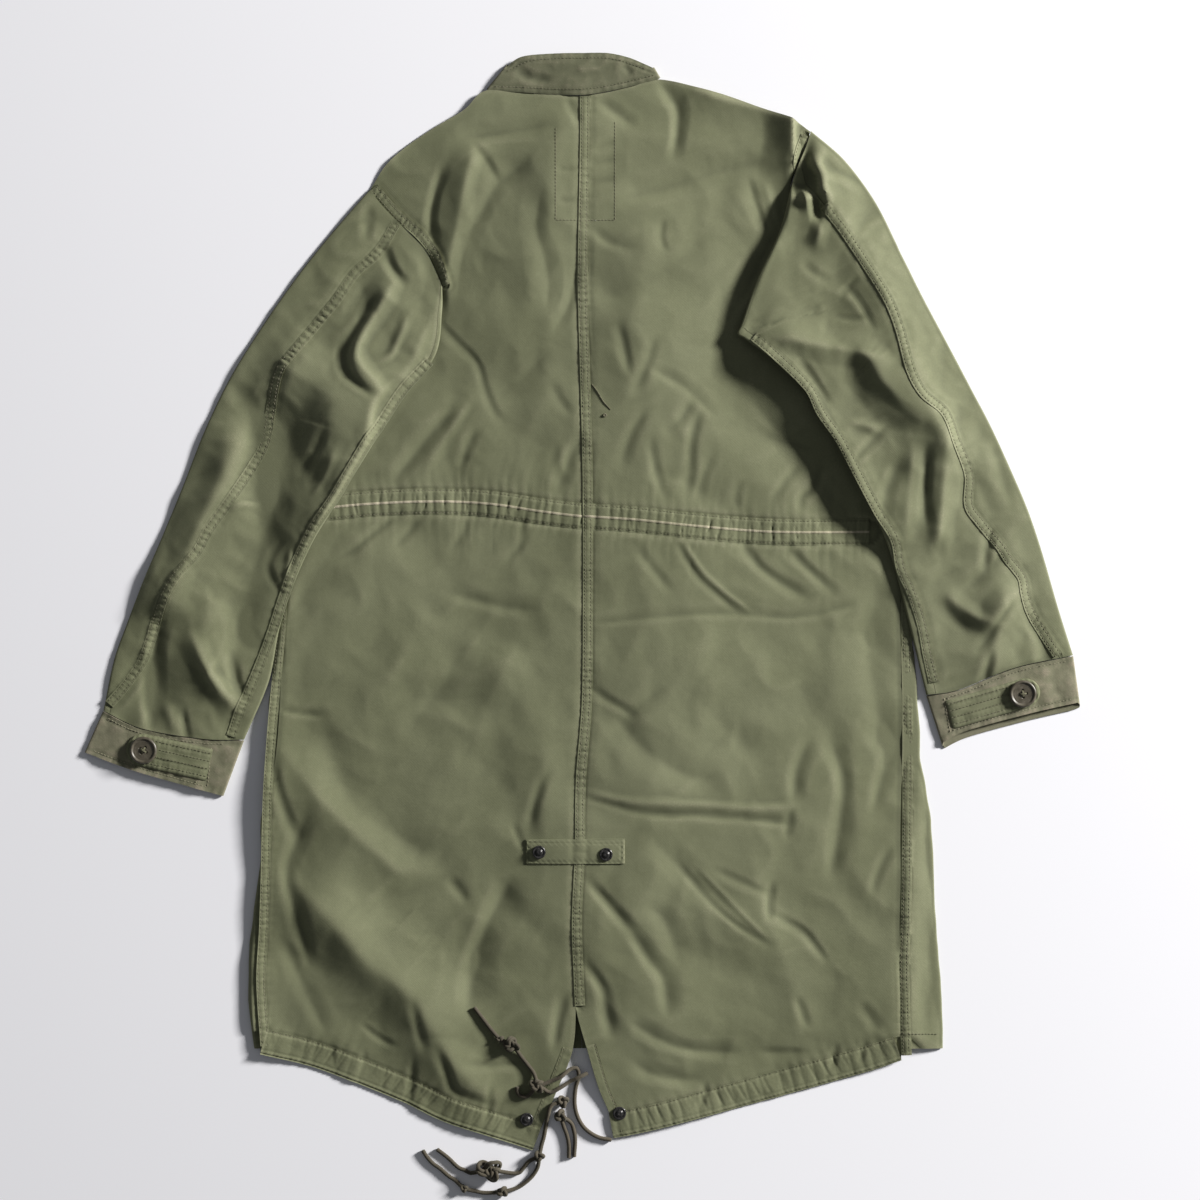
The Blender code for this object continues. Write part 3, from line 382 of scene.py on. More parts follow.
def makeCloth(name, setup):
    material, tree, surface = newMaterial(name)
    surface["Sheen Weight"].default_value = setup["sheen"]
    surface["Sheen Roughness"].default_value = 0.45
    surface["Sheen Tint"].default_value = (0.9, 0.95, 0.75, 1)
    surface["Specular IOR Level"].default_value = 0.25
    weave = addNode(tree, "Group", node_tree=weaveGroup)
    weave.inputs["Threads per metre"].default_value = setup["threads"]
    weave.inputs["Slub"].default_value = setup["slub"]
    tones = {title: (*setup[title.lower()], 1) for title in ("Dye", "Faded", "Rubbed")}
    # the group gives faded and rubbed dye, and painted shade in the folds
    fade = addNode(tree, "Group", {**tones, "Rub": setup["rub"], "Clouds": setup["clouds"]},
                   {"Thread": weave.outputs["Thread"]}, node_tree=dyeAndFoldShadeGroup)
    tree.links.new(fade.outputs["Color"], surface["Base Color"])
    tree.links.new(fade.outputs["Roughness"], surface["Roughness"])
    dents = noiseNode(tree, addNode(tree, "TexCoord").outputs["Object"], 190.0, 5.0, Roughness=0.62)
    wrinkle = addNode(tree, "Bump", {"Strength": setup["wrinkle"], "Distance": 0.0012}, {"Height": dents})
    bump = addNode(tree, "Bump", {"Strength": 0.5, "Distance": 0.00035},
                   {"Height": weave.outputs["Height"], "Normal": wrinkle.outputs[0]})
    tree.links.new(bump.outputs[0], surface["Normal"])
    return material


clothSetups = {
    "shellCloth": {
        "dye": (0.142, 0.150, 0.084), "faded": (0.190, 0.198, 0.120), "rubbed": (0.30, 0.27, 0.18),
        "rub": 0.35, "clouds": 0.45, "sheen": 0.08, "threads": 1300.0, "slub": 0.3, "wrinkle": 0.10},
    "bandCloth": {
        "dye": (0.158, 0.156, 0.098), "faded": (0.208, 0.195, 0.134), "rubbed": (0.34, 0.27, 0.21),
        "rub": 0.8, "clouds": 0.6, "sheen": 0.1, "threads": 1300.0, "slub": 0.4, "wrinkle": 0.25},
    "collarCloth": {
        "dye": (0.112, 0.116, 0.068), "faded": (0.150, 0.152, 0.096), "rubbed": (0.30, 0.26, 0.18),
        "rub": 0.6, "clouds": 0.5, "sheen": 0.08, "threads": 1300.0, "slub": 0.3, "wrinkle": 0.2},
    "threadMaterial": {
        "dye": (0.16, 0.155, 0.095), "faded": (0.25, 0.23, 0.16), "rubbed": (0.4, 0.3, 0.23),
        "rub": 0.6, "clouds": 1.0, "sheen": 0.05, "threads": 2600.0, "slub": 0.5, "wrinkle": 0.1},
    "wornCloth": {
        "dye": (0.30, 0.28, 0.19), "faded": (0.42, 0.38, 0.28), "rubbed": (0.5, 0.42, 0.33),
        "rub": 0.7, "clouds": 0.9, "sheen": 0.05, "threads": 1300.0, "slub": 0.5, "wrinkle": 0.5},
    "cordCotton": {
        "dye": (0.062, 0.048, 0.036), "faded": (0.125, 0.098, 0.075), "rubbed": (0.2, 0.16, 0.13),
        "rub": 0.6, "clouds": 0.8, "sheen": 0.2, "threads": 2200.0, "slub": 0.6, "wrinkle": 0.3},
}
weaveGroup = makeWeaveGroup()
dyeAndFoldShadeGroup = makeDyeAndFoldShadeGroup()
shellCloth, bandCloth, collarCloth, threadMaterial, wornCloth, cordCotton = (
    makeCloth(name, setup) for name, setup in clothSetups.items())


def makeScuffGroup():
    # fine scratches and handled patches on hard pieces
    group, given, out = newGroup(
        "handledSurface", (("Scale", "NodeSocketFloat", 300.0), ("Amount", "NodeSocketFloat", 0.5)),
        (("Mask", "NodeSocketFloat"), ("Height", "NodeSocketFloat")))
    place = addNode(group, "TexCoord").outputs["Object"]
    patches = addNode(group, "TexNoise", {"Detail": 4.0, "Roughness": 0.65},
                      {"Vector": place, "Scale": given["Scale"]}).outputs["Fac"]
    long = addNode(group, "Mapping", {"Scale": (1.0, 9.0, 1.0), "Rotation": (0, 0, 0.6)},
                   {"Vector": place}).outputs[0]
    scratches = noiseNode(group, long, 800.0, 3.0)
    both = mathNode(group, "MULTIPLY", patches, 0.7)
    both = mathNode(group, "ADD", both, mathNode(group, "MULTIPLY", scratches, 0.3))
    mask = rangeNode(group, both, 0.42, 0.72)
    group.links.new(mathNode(group, "MULTIPLY", mask, given["Amount"]), out["Mask"])
    group.links.new(both, out["Height"])
    return group


scuffGroup = makeScuffGroup()
hardSetups = {
    "buttonPlastic": {"low": (0.060, 0.052, 0.036), "high": (0.135, 0.118, 0.088), "scale": 260.0,
                      "amount": 0.8, "rough": (0.36, 0.55), "metallic": 0.0},
    "snapEnamel": {"low": (0.016, 0.016, 0.017), "high": (0.16, 0.15, 0.14), "scale": 420.0, "amount": 0.5,
                   "rough": (0.25, 0.45), "metallic": 0.35},
}


def makeHard(name, setup):
    material, tree, surface = newMaterial(name)
    surface["Metallic"].default_value = setup["metallic"]
    scuff = addNode(tree, "Group", {"Scale": setup["scale"], "Amount": setup["amount"]},
                    node_tree=scuffGroup)
    mask = scuff.outputs["Mask"]
    tree.links.new(mixColour(tree, mask, setup["low"], setup["high"]), surface["Base Color"])
    tree.links.new(rangeNode(tree, mask, 0.0, 1.0, *setup["rough"]), surface["Roughness"])
    bump = addNode(tree, "Bump", {"Strength": 0.25, "Distance": 0.0003}, {"Height": scuff.outputs["Height"]})
    tree.links.new(bump.outputs[0], surface["Normal"])
    return material


buttonPlastic, snapEnamel = (makeHard(name, hardSetups[name]) for name in hardSetups)
print("materials made")


# creases: width of the left and the right flank, height, the line, and True where the height stays as it is

bodyFolds = (
    (175, 200, 7, ((17, 538), (38, 288), (56, 0), (56, -288), (36, -557))),
    (60, 90, 4.5, ((-16, 499), (-33, 384), (-55, 288), (-79, 192))),
    (90, 50, 3.6, ((71, 413), (58, 326), (56, 259), (70, 173))),
    (24, 130, 6, ((320, -154), (313, -250), (311, -346), (311, -499))),
    (30, 48, 4.5, ((-296, -125), (-266, -173), (-228, -213), (-156, -278))),
    (50, 60, 3, ((-108, -38), (-60, -96), (-36, -154), (-50, -230))),
    (60, 50, 3, ((132, 0), (113, -77), (113, -154))),
    (40, 60, 3.4, ((156, -211), (171, -288), (200, -365), (209, -442))),
    (15, 10, -3.6, ((-122, 443), (-100, 445), (-69, 449), (-21, 457))),
    (6, 10, -2.6, ((-108, 442), (-92, 421), (-77, 397))),
    (12, 12, -3.2, ((-44, 428), (-67, 407), (-82, 394), (-100, 363), (-115, 340))),
    (14, 22, 4.6, ((-100, 444), (-109, 411), (-115, 384), (-122, 350), (-129, 317), (-138, 276))),
    (8, 8, -5, ((-127, 424), (-136, 403), (-142, 384), (-145, 360), (-138, 330))),
    (14, 18, -3.8, ((-36, 399), (-44, 360), (-37, 331), (-32, 302), (-36, 267))),
    (8, 10, -2.4, ((-5, 331), (-9, 298), (-15, 276), (-33, 248))),
    (6, 6, -2.2, ((-16, 484), (-8, 468), (0, 451))),
    (12, 9, -5.5, ((69, 505), (90, 475), (92, 451), (86, 415))),
    (10, 10, -3.2, ((12, 482), (32, 468), (56, 451))),
    (8, 32, 5.5, ((94, 492), (142, 477), (176, 468), (214, 455))),
    (8, 30, 9, ((196, 488), (201, 461), (202, 427), (204, 392)), True),
    (20, 16, -4.4, ((29, 382), (70, 392), (104, 402), (132, 411), (185, 422))),
    (6, 11, -3.2, ((158, 411), (168, 376), (182, 346))),
    (8, 8, 2, ((171, 408), (182, 379), (192, 349))),
    (5, 8, -1.8, ((80, 367), (76, 346), (84, 328))),
    (10, 8, -2.2, ((6, 361), (25, 343), (56, 334))),
    (28, 28, -3.4, ((3, 286), (56, 302), (94, 324), (128, 357))),
    (7, 9, -2.8, ((33, 271), (40, 245), (47, 209))),
    (8, 11, -2.8, ((72, 257), (63, 226), (48, 192))),
    (10, 8, -2.6, ((60, 225), (99, 204), (132, 173))),
    (10, 10, -2.8, ((110, 197), (96, 173), (77, 156))),
    (5, 8, -2.2, ((-144, 273), (-121, 249), (-100, 227), (-92, 202), (-82, 179), (-67, 165))),
    (16, 20, -3.6, ((-27, 244), (-50, 219), (-67, 204), (-84, 184))),
    (8, 9, -2.2, ((-31, 213), (-21, 192), (-6, 175))),
    (10, 13, -4.6, ((-117, 186), (-146, 156), (-165, 132), (-186, 106))),
    (9, 12, 3, ((-102, 200), (-132, 154), (-156, 117))),
    (7, 8, -2.8, ((-97, 169), (-109, 146), (-119, 119))),
    (10, 10, -3.2, ((3, 161), (-13, 130), (-28, 90))),
    (9, 8, 2, ((-15, 154), (-19, 134), (-15, 113))),
    (7, 8, -2.6, ((-165, 90), (-194, 67), (-221, 46), (-244, 35))),
    (6, 7, -2, ((-152, 84), (-165, 65), (-182, 46))),
    (6, 8, -2, ((-62, 90), (-56, 58), (-76, 31))),
    (6, 7, -1.6, ((-108, 83), (-115, 61), (-129, 42))),
    (8, 9, -3.4, ((148, 65), (167, 36), (188, 19), (224, -2))),
    (8, 9, -3.2, ((190, 58), (211, 36), (227, 21), (250, 0))),
    (4, 5, 1.9, ((92, 65), (113, 31), (132, 12), (169, -17))),
    (4, 6, -1.9, ((88, 61), (108, 27), (125, 10), (157, -17))),
    (8, 9, -2, ((46, 60), (65, 34), (92, 2))),
    (8, 9, -3.2, ((116, 190), (106, 154), (104, 125), (99, 90))),
    (9, 10, -3, ((69, 190), (48, 158), (36, 119))),
    (8, 8, -2.4, ((66, 163), (71, 125), (84, 88))),
    (8, 8, -2, ((129, 146), (116, 115), (112, 86))),
    (8, 8, -2.2, ((215, 134), (194, 111), (178, 86))),
    (7, 8, -3, ((231, 136), (222, 108), (211, 96), (212, 77))),
    (6, 7, -1.8, ((154, 117), (148, 100), (150, 84))),
    (14, 10, -3.2, ((-136, 10), (-98, 0), (-74, -6), (-36, -10))),
    (8, 5, -2.2, ((-298, -101), (-271, -108), (-242, -111))),
    (34, 26, -3.4, ((-253, -101), (-244, -130), (-234, -158), (-221, -190), (-194, -213), (-141, -250))),
    (8, 9, -3.6, ((-299, -146), (-287, -192), (-271, -236))),
    (12, 10, -4.2, ((-262, -202), (-276, -238), (-282, -264), (-275, -293), (-258, -359))),
    (60, 48, 8.5, ((-290, -255), (-253, -291), (-228, -319), (-205, -346), (-175, -367), (-152, -396),
                (-136, -422), (-121, -444), (-100, -466), (-55, -492))),
    (8, 8, -3, ((-163, -374), (-156, -408), (-148, -440))),
    (8, 9, -4, ((-142, -420), (-129, -451), (-119, -472), (-79, -486))),
    (16, 12, -3, ((-290, -317), (-266, -370), (-242, -422))),
    (24, 14, -5.5, ((-63, -261), (-94, -322), (-103, -350), (-108, -403))),
    (5, 5, -1.8, ((-66, -211), (-62, -223), (-54, -242))),
    (8, 9, -3.4, ((-30, -157), (-44, -192), (-51, -230))),
    (5, 5, -2, ((-215, -403), (-194, -420), (-173, -430))),
    (7, 9, -3.6, ((-11, -370), (-21, -398), (-27, -438))),
    (8, 8, -2.4, ((-123, -442), (-88, -445), (-48, -442))),
    (5, 6, -2.4, ((-160, -432), (-163, -461), (-167, -492))),
    (5, 6, -2.2, ((-86, -457), (-88, -480), (-92, -507))),
    (5, 6, -1.8, ((-237, -422), (-240, -442), (-244, -461))),
    (5, 6, -1.8, ((-208, -426), (-209, -449), (-213, -472))),
    (8, 12, 3.6, ((-6, -183), (48, -194), (75, -195), (113, -196), (156, -200), (209, -198))),
    (10, 6, -3, ((-4, -186), (48, -200), (80, -205), (113, -205), (161, -209), (209, -215))),
    (6, 6, -2.2, ((202, -196), (199, -211), (196, -232))),
    (12, 10, -4.2, ((223, -127), (207, -163), (204, -200))),
    (13, 12, -4.8, ((236, -125), (250, -168), (249, -206), (238, -273))),
    (12, 10, -3.4, ((301, -132), (288, -173), (278, -213))),
    (8, 8, -2.4, ((301, -232), (286, -257), (275, -292))),
    (9, 8, -4.4, ((0, -261), (20, -284), (35, -301), (56, -324))),
    (15, 10, -5, ((42, -307), (63, -341), (79, -363), (84, -405))),
    (16, 14, -3.2, ((60, -284), (83, -312), (96, -357))),
    (9, 9, -4.4, ((-2, -338), (19, -370), (24, -394), (31, -427))),
    (12, 10, -4.4, ((40, -399), (73, -419), (104, -430), (159, -434))),
    (14, 12, -4.8, ((44, -438), (65, -453), (104, -459), (125, -457))),
    (5, 5, -2, ((88, -248), (125, -290), (152, -313), (188, -334))),
    (4, 4, 1.6, ((106, -250), (147, -293), (182, -328))),
    (6, 6, -2.8, ((185, -265), (180, -288), (181, -313))),
    (6, 8, -3.2, ((173, -294), (209, -315), (223, -330), (240, -353))),
    (6, 8, -2.2, ((117, -253), (152, -269), (186, -284))),
    (6, 6, -2.6, ((205, -376), (212, -396), (218, -413))),
    (10, 10, -2.4, ((263, -382), (275, -397), (288, -417))),
    (6, 9, -2.4, ((163, -432), (190, -434), (221, -432))),
    (5, 6, -2.2, ((246, -422), (242, -438), (238, -455))),
    (5, 6, -2, ((273, -419), (269, -432), (265, -447))),
    (5, 6, -2.2, ((121, -459), (117, -476), (113, -492))),
    (20, 18, -3.4, ((60, -219), (104, -264), (152, -300))),
    (30, 32, -4.4, ((290, 29), (276, -38), (286, -115), (296, -163))),
    (22, 22, -3.8, ((27, -100), (56, -139), (104, -168), (140, -168))),
    (8, 8, -2.8, ((2, -79), (23, -94), (56, -113))),
    (14, 14, -2.6, ((81, -81), (56, -102), (33, -123))),
    (9, 6, -2, ((2, -23), (36, -19), (75, -15), (123, -12), (159, -13), (195, -16), (228, -12), (269, -1))),
    (40, 16, 5, ((-300, 38), (-303, -96), (-307, -192), (-311, -288), (-315, -384), (-315, -518))),
    (28, 48, -3, ((209, 394), (159, 302), (131, 248), (163, 192), (204, 144), (257, 72), (286, 29))),
    (8, 8, -5.5, ((-175, 269), (-156, 255), (-142, 232))),
    (7, 6, -1.4, ((8, 430), (17, 434), (35, 440))),
    (7, 6, -1.4, ((4, 415), (19, 419), (35, 422))),
    (7, 6, -1.4, ((2, 397), (19, 401), (35, 403))),
    (5, 5, -1.2, ((-25, 413), (-15, 411), (-4, 413))),
    (5, 5, -1.2, ((-25, 384), (-15, 382), (-4, 384))),
    (26, 26, -3.2, ((-108, -38), (-136, -86), (-175, -134))),
    (30, 30, 2.6, ((-146, 0), (-175, -58), (-204, -115))),
    (30, 30, -3, ((104, -86), (142, -125), (171, -154))),
    (26, 24, 2.4, ((-60, -38), (-88, -96), (-108, -154))),
    (26, 26, -2.6, ((-108, -250), (-156, -278), (-204, -288))),
    (7, 7, -2.6, ((-129, -265), (-119, -276), (-108, -292))),
)
sleeveFolds = (
    (40, 66, 12, ((200, 468), (217, 422), (253, 350), (286, 298), (307, 240),
                (324, 192), (353, 144), (371, 96))),
    (30, 8, 6, ((202, 476), (206, 432), (209, 403), (217, 363))),
    (12, 64, 10, ((-165, 225), (-198, 190), (-207, 152), (-223, 123), (-240, 92), (-259, 62), (-275, 29))),
    (84, 34, -7.5, ((-305, 207), (-308, 163), (-302, 115), (-294, 62)), True),
    (50, 72, 7.5, ((-319, 238), (-284, 223), (-247, 197), (-221, 171), (-202, 146))),
    (56, 44, 6, ((-307, 186), (-332, 134), (-363, 72), (-394, 12), (-417, -48))),
    (30, 50, 6, ((411, 38), (401, -10), (392, -58), (387, -96))),
    (40, 60, 5, ((-352, 29), (-362, -19), (-352, -77), (-338, -125))),
    (16, 14, 8, ((209, 432), (221, 413), (227, 399), (236, 372))),
    (10, 9, -6.5, ((212, 424), (217, 403), (224, 380), (230, 349)), True),
    (10, 9, 5, ((236, 394), (229, 363), (222, 330))),
    (14, 12, -3.8, ((215, 424), (243, 411), (278, 396))),
    (5, 5, -1.8, ((248, 307), (267, 282), (282, 252))),
    (5, 5, -1.6, ((238, 273), (257, 269), (275, 271))),
    (6, 6, -1.6, ((209, 324), (224, 311), (240, 305))),
    (5, 5, -1.4, ((265, 311), (253, 296), (244, 282))),
    (34, 15, 4.6, ((167, 252), (194, 249), (227, 243), (257, 238), (275, 231), (286, 215)), True),
    (22, 26, 7.5, ((259, 240), (278, 227), (286, 211), (296, 199),
                (310, 188), (329, 181), (349, 176)), True),
    (16, 24, 6, ((346, 196), (348, 173), (348, 154), (344, 129))),
    (18, 22, 6.5, ((349, 148), (345, 110), (343, 82), (338, 42))),
    (8, 8, -3, ((330, 154), (329, 125), (328, 96), (332, 58))),
    (14, 18, 3.4, ((336, 15), (365, -8), (384, -19), (401, -6), (434, 21))),
    (9, 12, -1.6, ((336, 4), (368, -24), (399, -38))),
    (6, 8, -4.4, ((394, -44), (388, -69), (382, -96))),
    (8, 8, -2.8, ((420, 10), (397, -24), (372, -61))),
    (6, 8, -3.4, ((394, 71), (388, 46), (386, 23))),
    (14, 14, -3.8, ((411, 52), (387, 27), (361, 2))),
    (7, 7, -2.6, ((294, 169), (275, 148), (253, 125))),
    (9, 8, 2.6, ((246, 169), (269, 167), (290, 157))),
    (10, 10, -2.8, ((305, 134), (291, 101), (285, 65))),
    (16, 12, -3.6, ((390, 165), (403, 125), (415, 83))),
    (10, 10, -3.8, ((426, -10), (442, -43), (447, -75))),
    (6, 8, -3.4, ((202, 238), (224, 206), (240, 180))),
    (16, 20, 4, ((317, 154), (313, 115), (309, 58))),
    (12, 19, 6.6, ((-175, 313), (-196, 276), (-209, 254), (-215, 240), (-211, 223), (-184, 190))),
    (8, 9, -5, ((-192, 301), (-221, 250), (-227, 228), (-217, 209), (-190, 190))),
    (7, 7, 3.4, ((-161, 282), (-177, 245), (-184, 232), (-205, 223))),
    (8, 9, -4.4, ((-194, 348), (-182, 319), (-165, 298))),
    (6, 8, -3, ((-202, 384), (-204, 363), (-207, 340))),
    (12, 12, -3.8, ((-342, 215), (-323, 192), (-300, 156))),
    (36, 36, -5, ((-286, 125), (-300, 77), (-307, 48), (-315, 19), (-323, -19), (-332, -67))),
    (5, 6, -3.2, ((-282, 61), (-300, 34), (-284, 0))),
    (4, 5, 2.8, ((-277, 52), (-280, 36), (-284, 17))),
    (10, 12, -4.8, ((-313, 0), (-323, -27), (-301, -52))),
    (8, 8, -4, ((-336, -44), (-332, -72), (-323, -96))),
    (13, 15, 7.5, ((-376, -25), (-361, -60), (-349, -81), (-336, -98), (-319, -117))),
    (15, 10, -7.5, ((-402, -12), (-410, -53), (-413, -86), (-412, -131))),
    (4, 6, 2, ((-340, 83), (-326, 92), (-307, 90))),
    (5, 6, -2.8, ((-383, -100), (-380, -117), (-376, -140))),
    (8, 8, 2.4, ((-397, -96), (-394, -111), (-390, -129))),
    (18, 22, 3.4, ((-324, 173), (-343, 120), (-363, 77), (-382, 29), (-405, -23))),
    (8, 10, -3, ((-242, 173), (-253, 144), (-271, 115))),
    (8, 10, 2.4, ((-232, 154), (-242, 125), (-261, 91))),
    (7, 8, -3, ((-271, 336), (-280, 317), (-294, 301))),
)

sleeveLifts = (
    (70, 20, 6.2, ((209, 395), (190, 350), (168, 300), (149, 254), (189, 224), (217, 199), (234, 170),
                   (254, 136), (271, 100), (288, 63), (306, 18))),
    (14, 62, 4, ((-134, 292), (-150, 258), (-165, 225), (-205, 150), (-225, 112), (-262, 55), (-294, -15))),
    (34, 20, 7, ((150, 254), (176, 226), (209, 180), (243, 125), (276, 67))),
    (24, 12, 3, ((200, 462), (207, 430), (210, 404), (222, 372))),
)
collarFolds = (
    (7, 7, -1.8, ((-66, 506), (-45, 500), (-25, 499))),
    (8, 6, 1.0, ((-10, 508), (20, 509))),
    (5, 5, -0.9, ((40, 514), (48, 502))),
)

# a fine crease is laid softer than a broad one: widest flank, share of its height, steepest rise
bodyEase = ((20, 0.48, 0.24), (36, 0.62, 0.24), (999, 1.0, 0.3))
sleeveEase = ((17, 0.62, 0.3), (24, 0.8, 0.3), (999, 1.0, 2.0))


def easedFolds(folds, ease):
    rows = []
    for leftWidth, rightWidth, height, points, *kept in folds:
        width = max(leftWidth, rightWidth)
        if not kept:
            share, steepest = next(row[1:] for row in ease if width <= row[0])
            height = max(-steepest * width, min(steepest * width, share * height))
        rows.append((leftWidth, rightWidth, height, points))
    return rows


bodyFolds = easedFolds(bodyFolds, bodyEase)
sleeveFolds = easedFolds(sleeveFolds, sleeveEase)


# meshes

def buildMesh(name, points, faces, material, slotName, sharpAngle=40, wear=None):
    # a piece in metres from points in millimetres, riding on the coat; its last argument gives by point the
    # mask of crest wear and of painted shade in the folds
    data = bpy.data.meshes.new(name)
    data.from_pydata((np.asarray(points, float) * mm).tolist(), [], faces)
    shape = bmesh.new()
    shape.from_mesh(data)
    bmesh.ops.recalc_face_normals(shape, faces=shape.faces)
    shape.to_mesh(data)
    shape.free()
    data.shade_smooth()
    data.set_sharp_from_angle(angle=math.radians(sharpAngle))
    data.materials.append(material)
    if wear is not None:
        data.attributes.new("wear", "FLOAT", "POINT").data.foreach_set("value", np.float32(wear))
    piece = bpy.data.objects.new(name, data)
    bpy.context.scene.collection.objects.link(piece)
    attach(piece, "root")
    return piece


def gridFaces(rows, cols, start=0, closed=False):
    faces = []
    for r in range(rows - 1):
        for c in range(cols if closed else cols - 1):
            d = (c + 1) % cols
            faces.append((start + r * cols + c, start + r * cols + d,
                          start + (r + 1) * cols + d, start + (r + 1) * cols + c))
    return faces


def crestWearAndFoldShade(z):
    # 0.5 on even cloth, towards 1 on its crests, which are rubbed pale, and towards 0 in its folds, which
    # get painted shade
    soft = z.copy()
    for axis in (0, 1):
        for _ in range(3):
            soft = (np.roll(soft, 1, axis) + 2 * soft + np.roll(soft, -1, axis)) / 4
    return np.clip(0.5 + (z - soft) * 1.4, 0, 1)


def steppedIndexes(count, skip):
    return sorted(set(range(0, count, skip)) | {count - 1})


def clothShell(name, top, material, slotName, thickness, skip=3):
    # a closed sheet of cloth: a fine upper side over a coarser underside
    rows, cols = top.shape[:2]
    rowPicks, colPicks = steppedIndexes(rows, skip), steppedIndexes(cols, skip)
    lowest = top[:, :, 2].copy()
    for axis in (0, 1):
        for _ in range(skip):
            padded = np.pad(lowest, 1, mode="edge")
            if axis == 0:
                lowest = np.minimum(np.minimum(padded[:-2, 1:-1], padded[2:, 1:-1]), lowest)
            else:
                lowest = np.minimum(np.minimum(padded[1:-1, :-2], padded[1:-1, 2:]), lowest)
    under = top[np.ix_(rowPicks, colPicks)].copy()
    under[:, :, 2] = np.maximum(lowest[np.ix_(rowPicks, colPicks)] - thickness, 0)
    start = rows * cols
    faces = gridFaces(rows, cols)
    faces += [face[::-1] for face in gridFaces(len(rowPicks), len(colPicks), start)]
    for r, line in ((0, 0), (len(rowPicks) - 1, rows - 1)):
        for k, (a, b) in enumerate(zip(colPicks, colPicks[1:])):
            faces.append([line * cols + c for c in range(a, b + 1)]
                         + [start + r * len(colPicks) + k + 1, start + r * len(colPicks) + k])
    for c, line in ((0, 0), (len(colPicks) - 1, cols - 1)):
        for k, (a, b) in enumerate(zip(rowPicks, rowPicks[1:])):
            faces.append([r * cols + line for r in range(a, b + 1)]
                         + [start + (k + 1) * len(colPicks) + c, start + k * len(colPicks) + c])
    points = np.vstack([top.reshape(-1, 3), under.reshape(-1, 3)])
    wear = np.r_[crestWearAndFoldShade(top[:, :, 2]).ravel(), np.full(under.shape[0] * under.shape[1], 0.5)]
    return buildMesh(name, points, faces, material, slotName, wear=wear)


def wrapShell(name, outer, material, slotName, thickness, closed=False):
    # a closed sheet of cloth that turns round an edge: outer side and the same side moved inwards
    rows, cols = outer.shape[:2]
    if closed:
        across = np.roll(outer, -1, 1) - np.roll(outer, 1, 1)
    else:
        across = np.gradient(outer, axis=1)
    normal = np.cross(across, np.gradient(outer, axis=0))
    normal /= np.maximum(np.linalg.norm(normal, axis=2, keepdims=True), 1e-9)
    high = outer[:, :, 2] > np.percentile(outer[:, :, 2], 70)
    inner = outer - normal * thickness * np.sign(normal[:, :, 2][high].mean())
    inner[:, :, 2] = np.maximum(inner[:, :, 2], 0)
    start = rows * cols
    faces = gridFaces(rows, cols, 0, closed) + [f[::-1] for f in gridFaces(rows, cols, start, closed)]
    for line in (0, rows - 1):
        for c in range(cols if closed else cols - 1):
            d = (c + 1) % cols
            faces.append((line * cols + c, line * cols + d,
                          start + line * cols + d, start + line * cols + c))
    if not closed:
        for line in (0, cols - 1):
            for r in range(rows - 1):
                faces.append((r * cols + line, (r + 1) * cols + line,
                              start + (r + 1) * cols + line, start + r * cols + line))
    points = np.vstack([outer.reshape(-1, 3), inner.reshape(-1, 3)])
    wear = crestWearAndFoldShade(outer[:, :, 2]).ravel()
    return buildMesh(name, points, faces, material, slotName, wear=np.r_[wear, wear])


# seams, all along the middle of their sewn bands

seams = {
    "centre": ((2.9, 483), (2.9, 432), (1, 326), (1, 288), (4.8, 154), (5.8, 77), (5.8, 0), (4.8, -96),
               (-1, -173), (-1.9, -240), (-4.8, -307), (-2.9, -365), (-1.9, -388)),
    "sideRight": ((311, 2), (312, -77), (312.5, -153), (311, -250), (309.6, -314), (308.2, -347),
                  (309.6, -411), (311, -436)),
    "sideLeft": ((-286.5, 14), (-288.5, -30), (-292, -70), (-295.8, -113), (-298.6, -150), (-300.8, -190),
                 (-302.4, -240), (-304.3, -307), (-307.2, -365), (-303.4, -427)),
    "armholeLeft": ((-199.7, 395.5), (-176.6, 368.6), (-155.5, 350.4), (-140.2, 329.3), (-130.6, 301.4)),
    "armholeRight": ((214.1, 445.4), (208.3, 430.1), (206.4, 416.6), (209.3, 404.2)),
    "elbowLeft": ((-178.6, 361), (-194.9, 334.1), (-217.9, 313), (-233.3, 289.9), (-254.4, 264),
                  (-274.6, 239), (-289.9, 217.9), (-297.6, 184.3), (-303.4, 151.7), (-315.8, 127.7),
                  (-337, 95), (-357.1, 66.2), (-368.6, 45.1), (-390.7, 19.2), (-404.2, -9.6),
                  (-412.8, -36.5), (-421.4, -58.6), (-436.8, -80.6), (-453.1, -99.8)),
    "underarmLeft": ((-145.9, 228.5), (-171.8, 199.7), (-194.9, 164.2), (-205.4, 148.8), (-220.8, 122.9),
                     (-236.2, 97), (-254.4, 71), (-266.9, 48), (-274.6, 31.7), (-285.1, 3.8),
                     (-298.6, -36.5), (-313.9, -75.8), (-327.4, -106.6), (-336, -130.6)),
    "elbowRight": ((231.4, 376.3), (250.6, 351.4), (268.8, 324.5), (290.9, 289), (303.4, 258.2),
                   (313, 219.8), (325.4, 196.8), (346.6, 178.6), (358.1, 150.7), (370.6, 120), (370.6, 91.2),
                   (381.1, 74.9), (400.3, 51.8), (409, 38.4), (421.4, 22.1), (424.3, 5.8), (430.1, -11.5),
                   (443.5, -33.6), (456, -52.8)),
    "underarmRight": ((164.2, 251.5), (192, 226.6), (217, 201.6), (228.5, 178.6), (245.8, 153.6),
                      (265, 117.1), (282.2, 85.4), (299.5, 57.6), (305.3, 29.8), (314.9, 8.6), (325.4, -23),
                      (331.2, -52.8), (337, -78.7)),
}
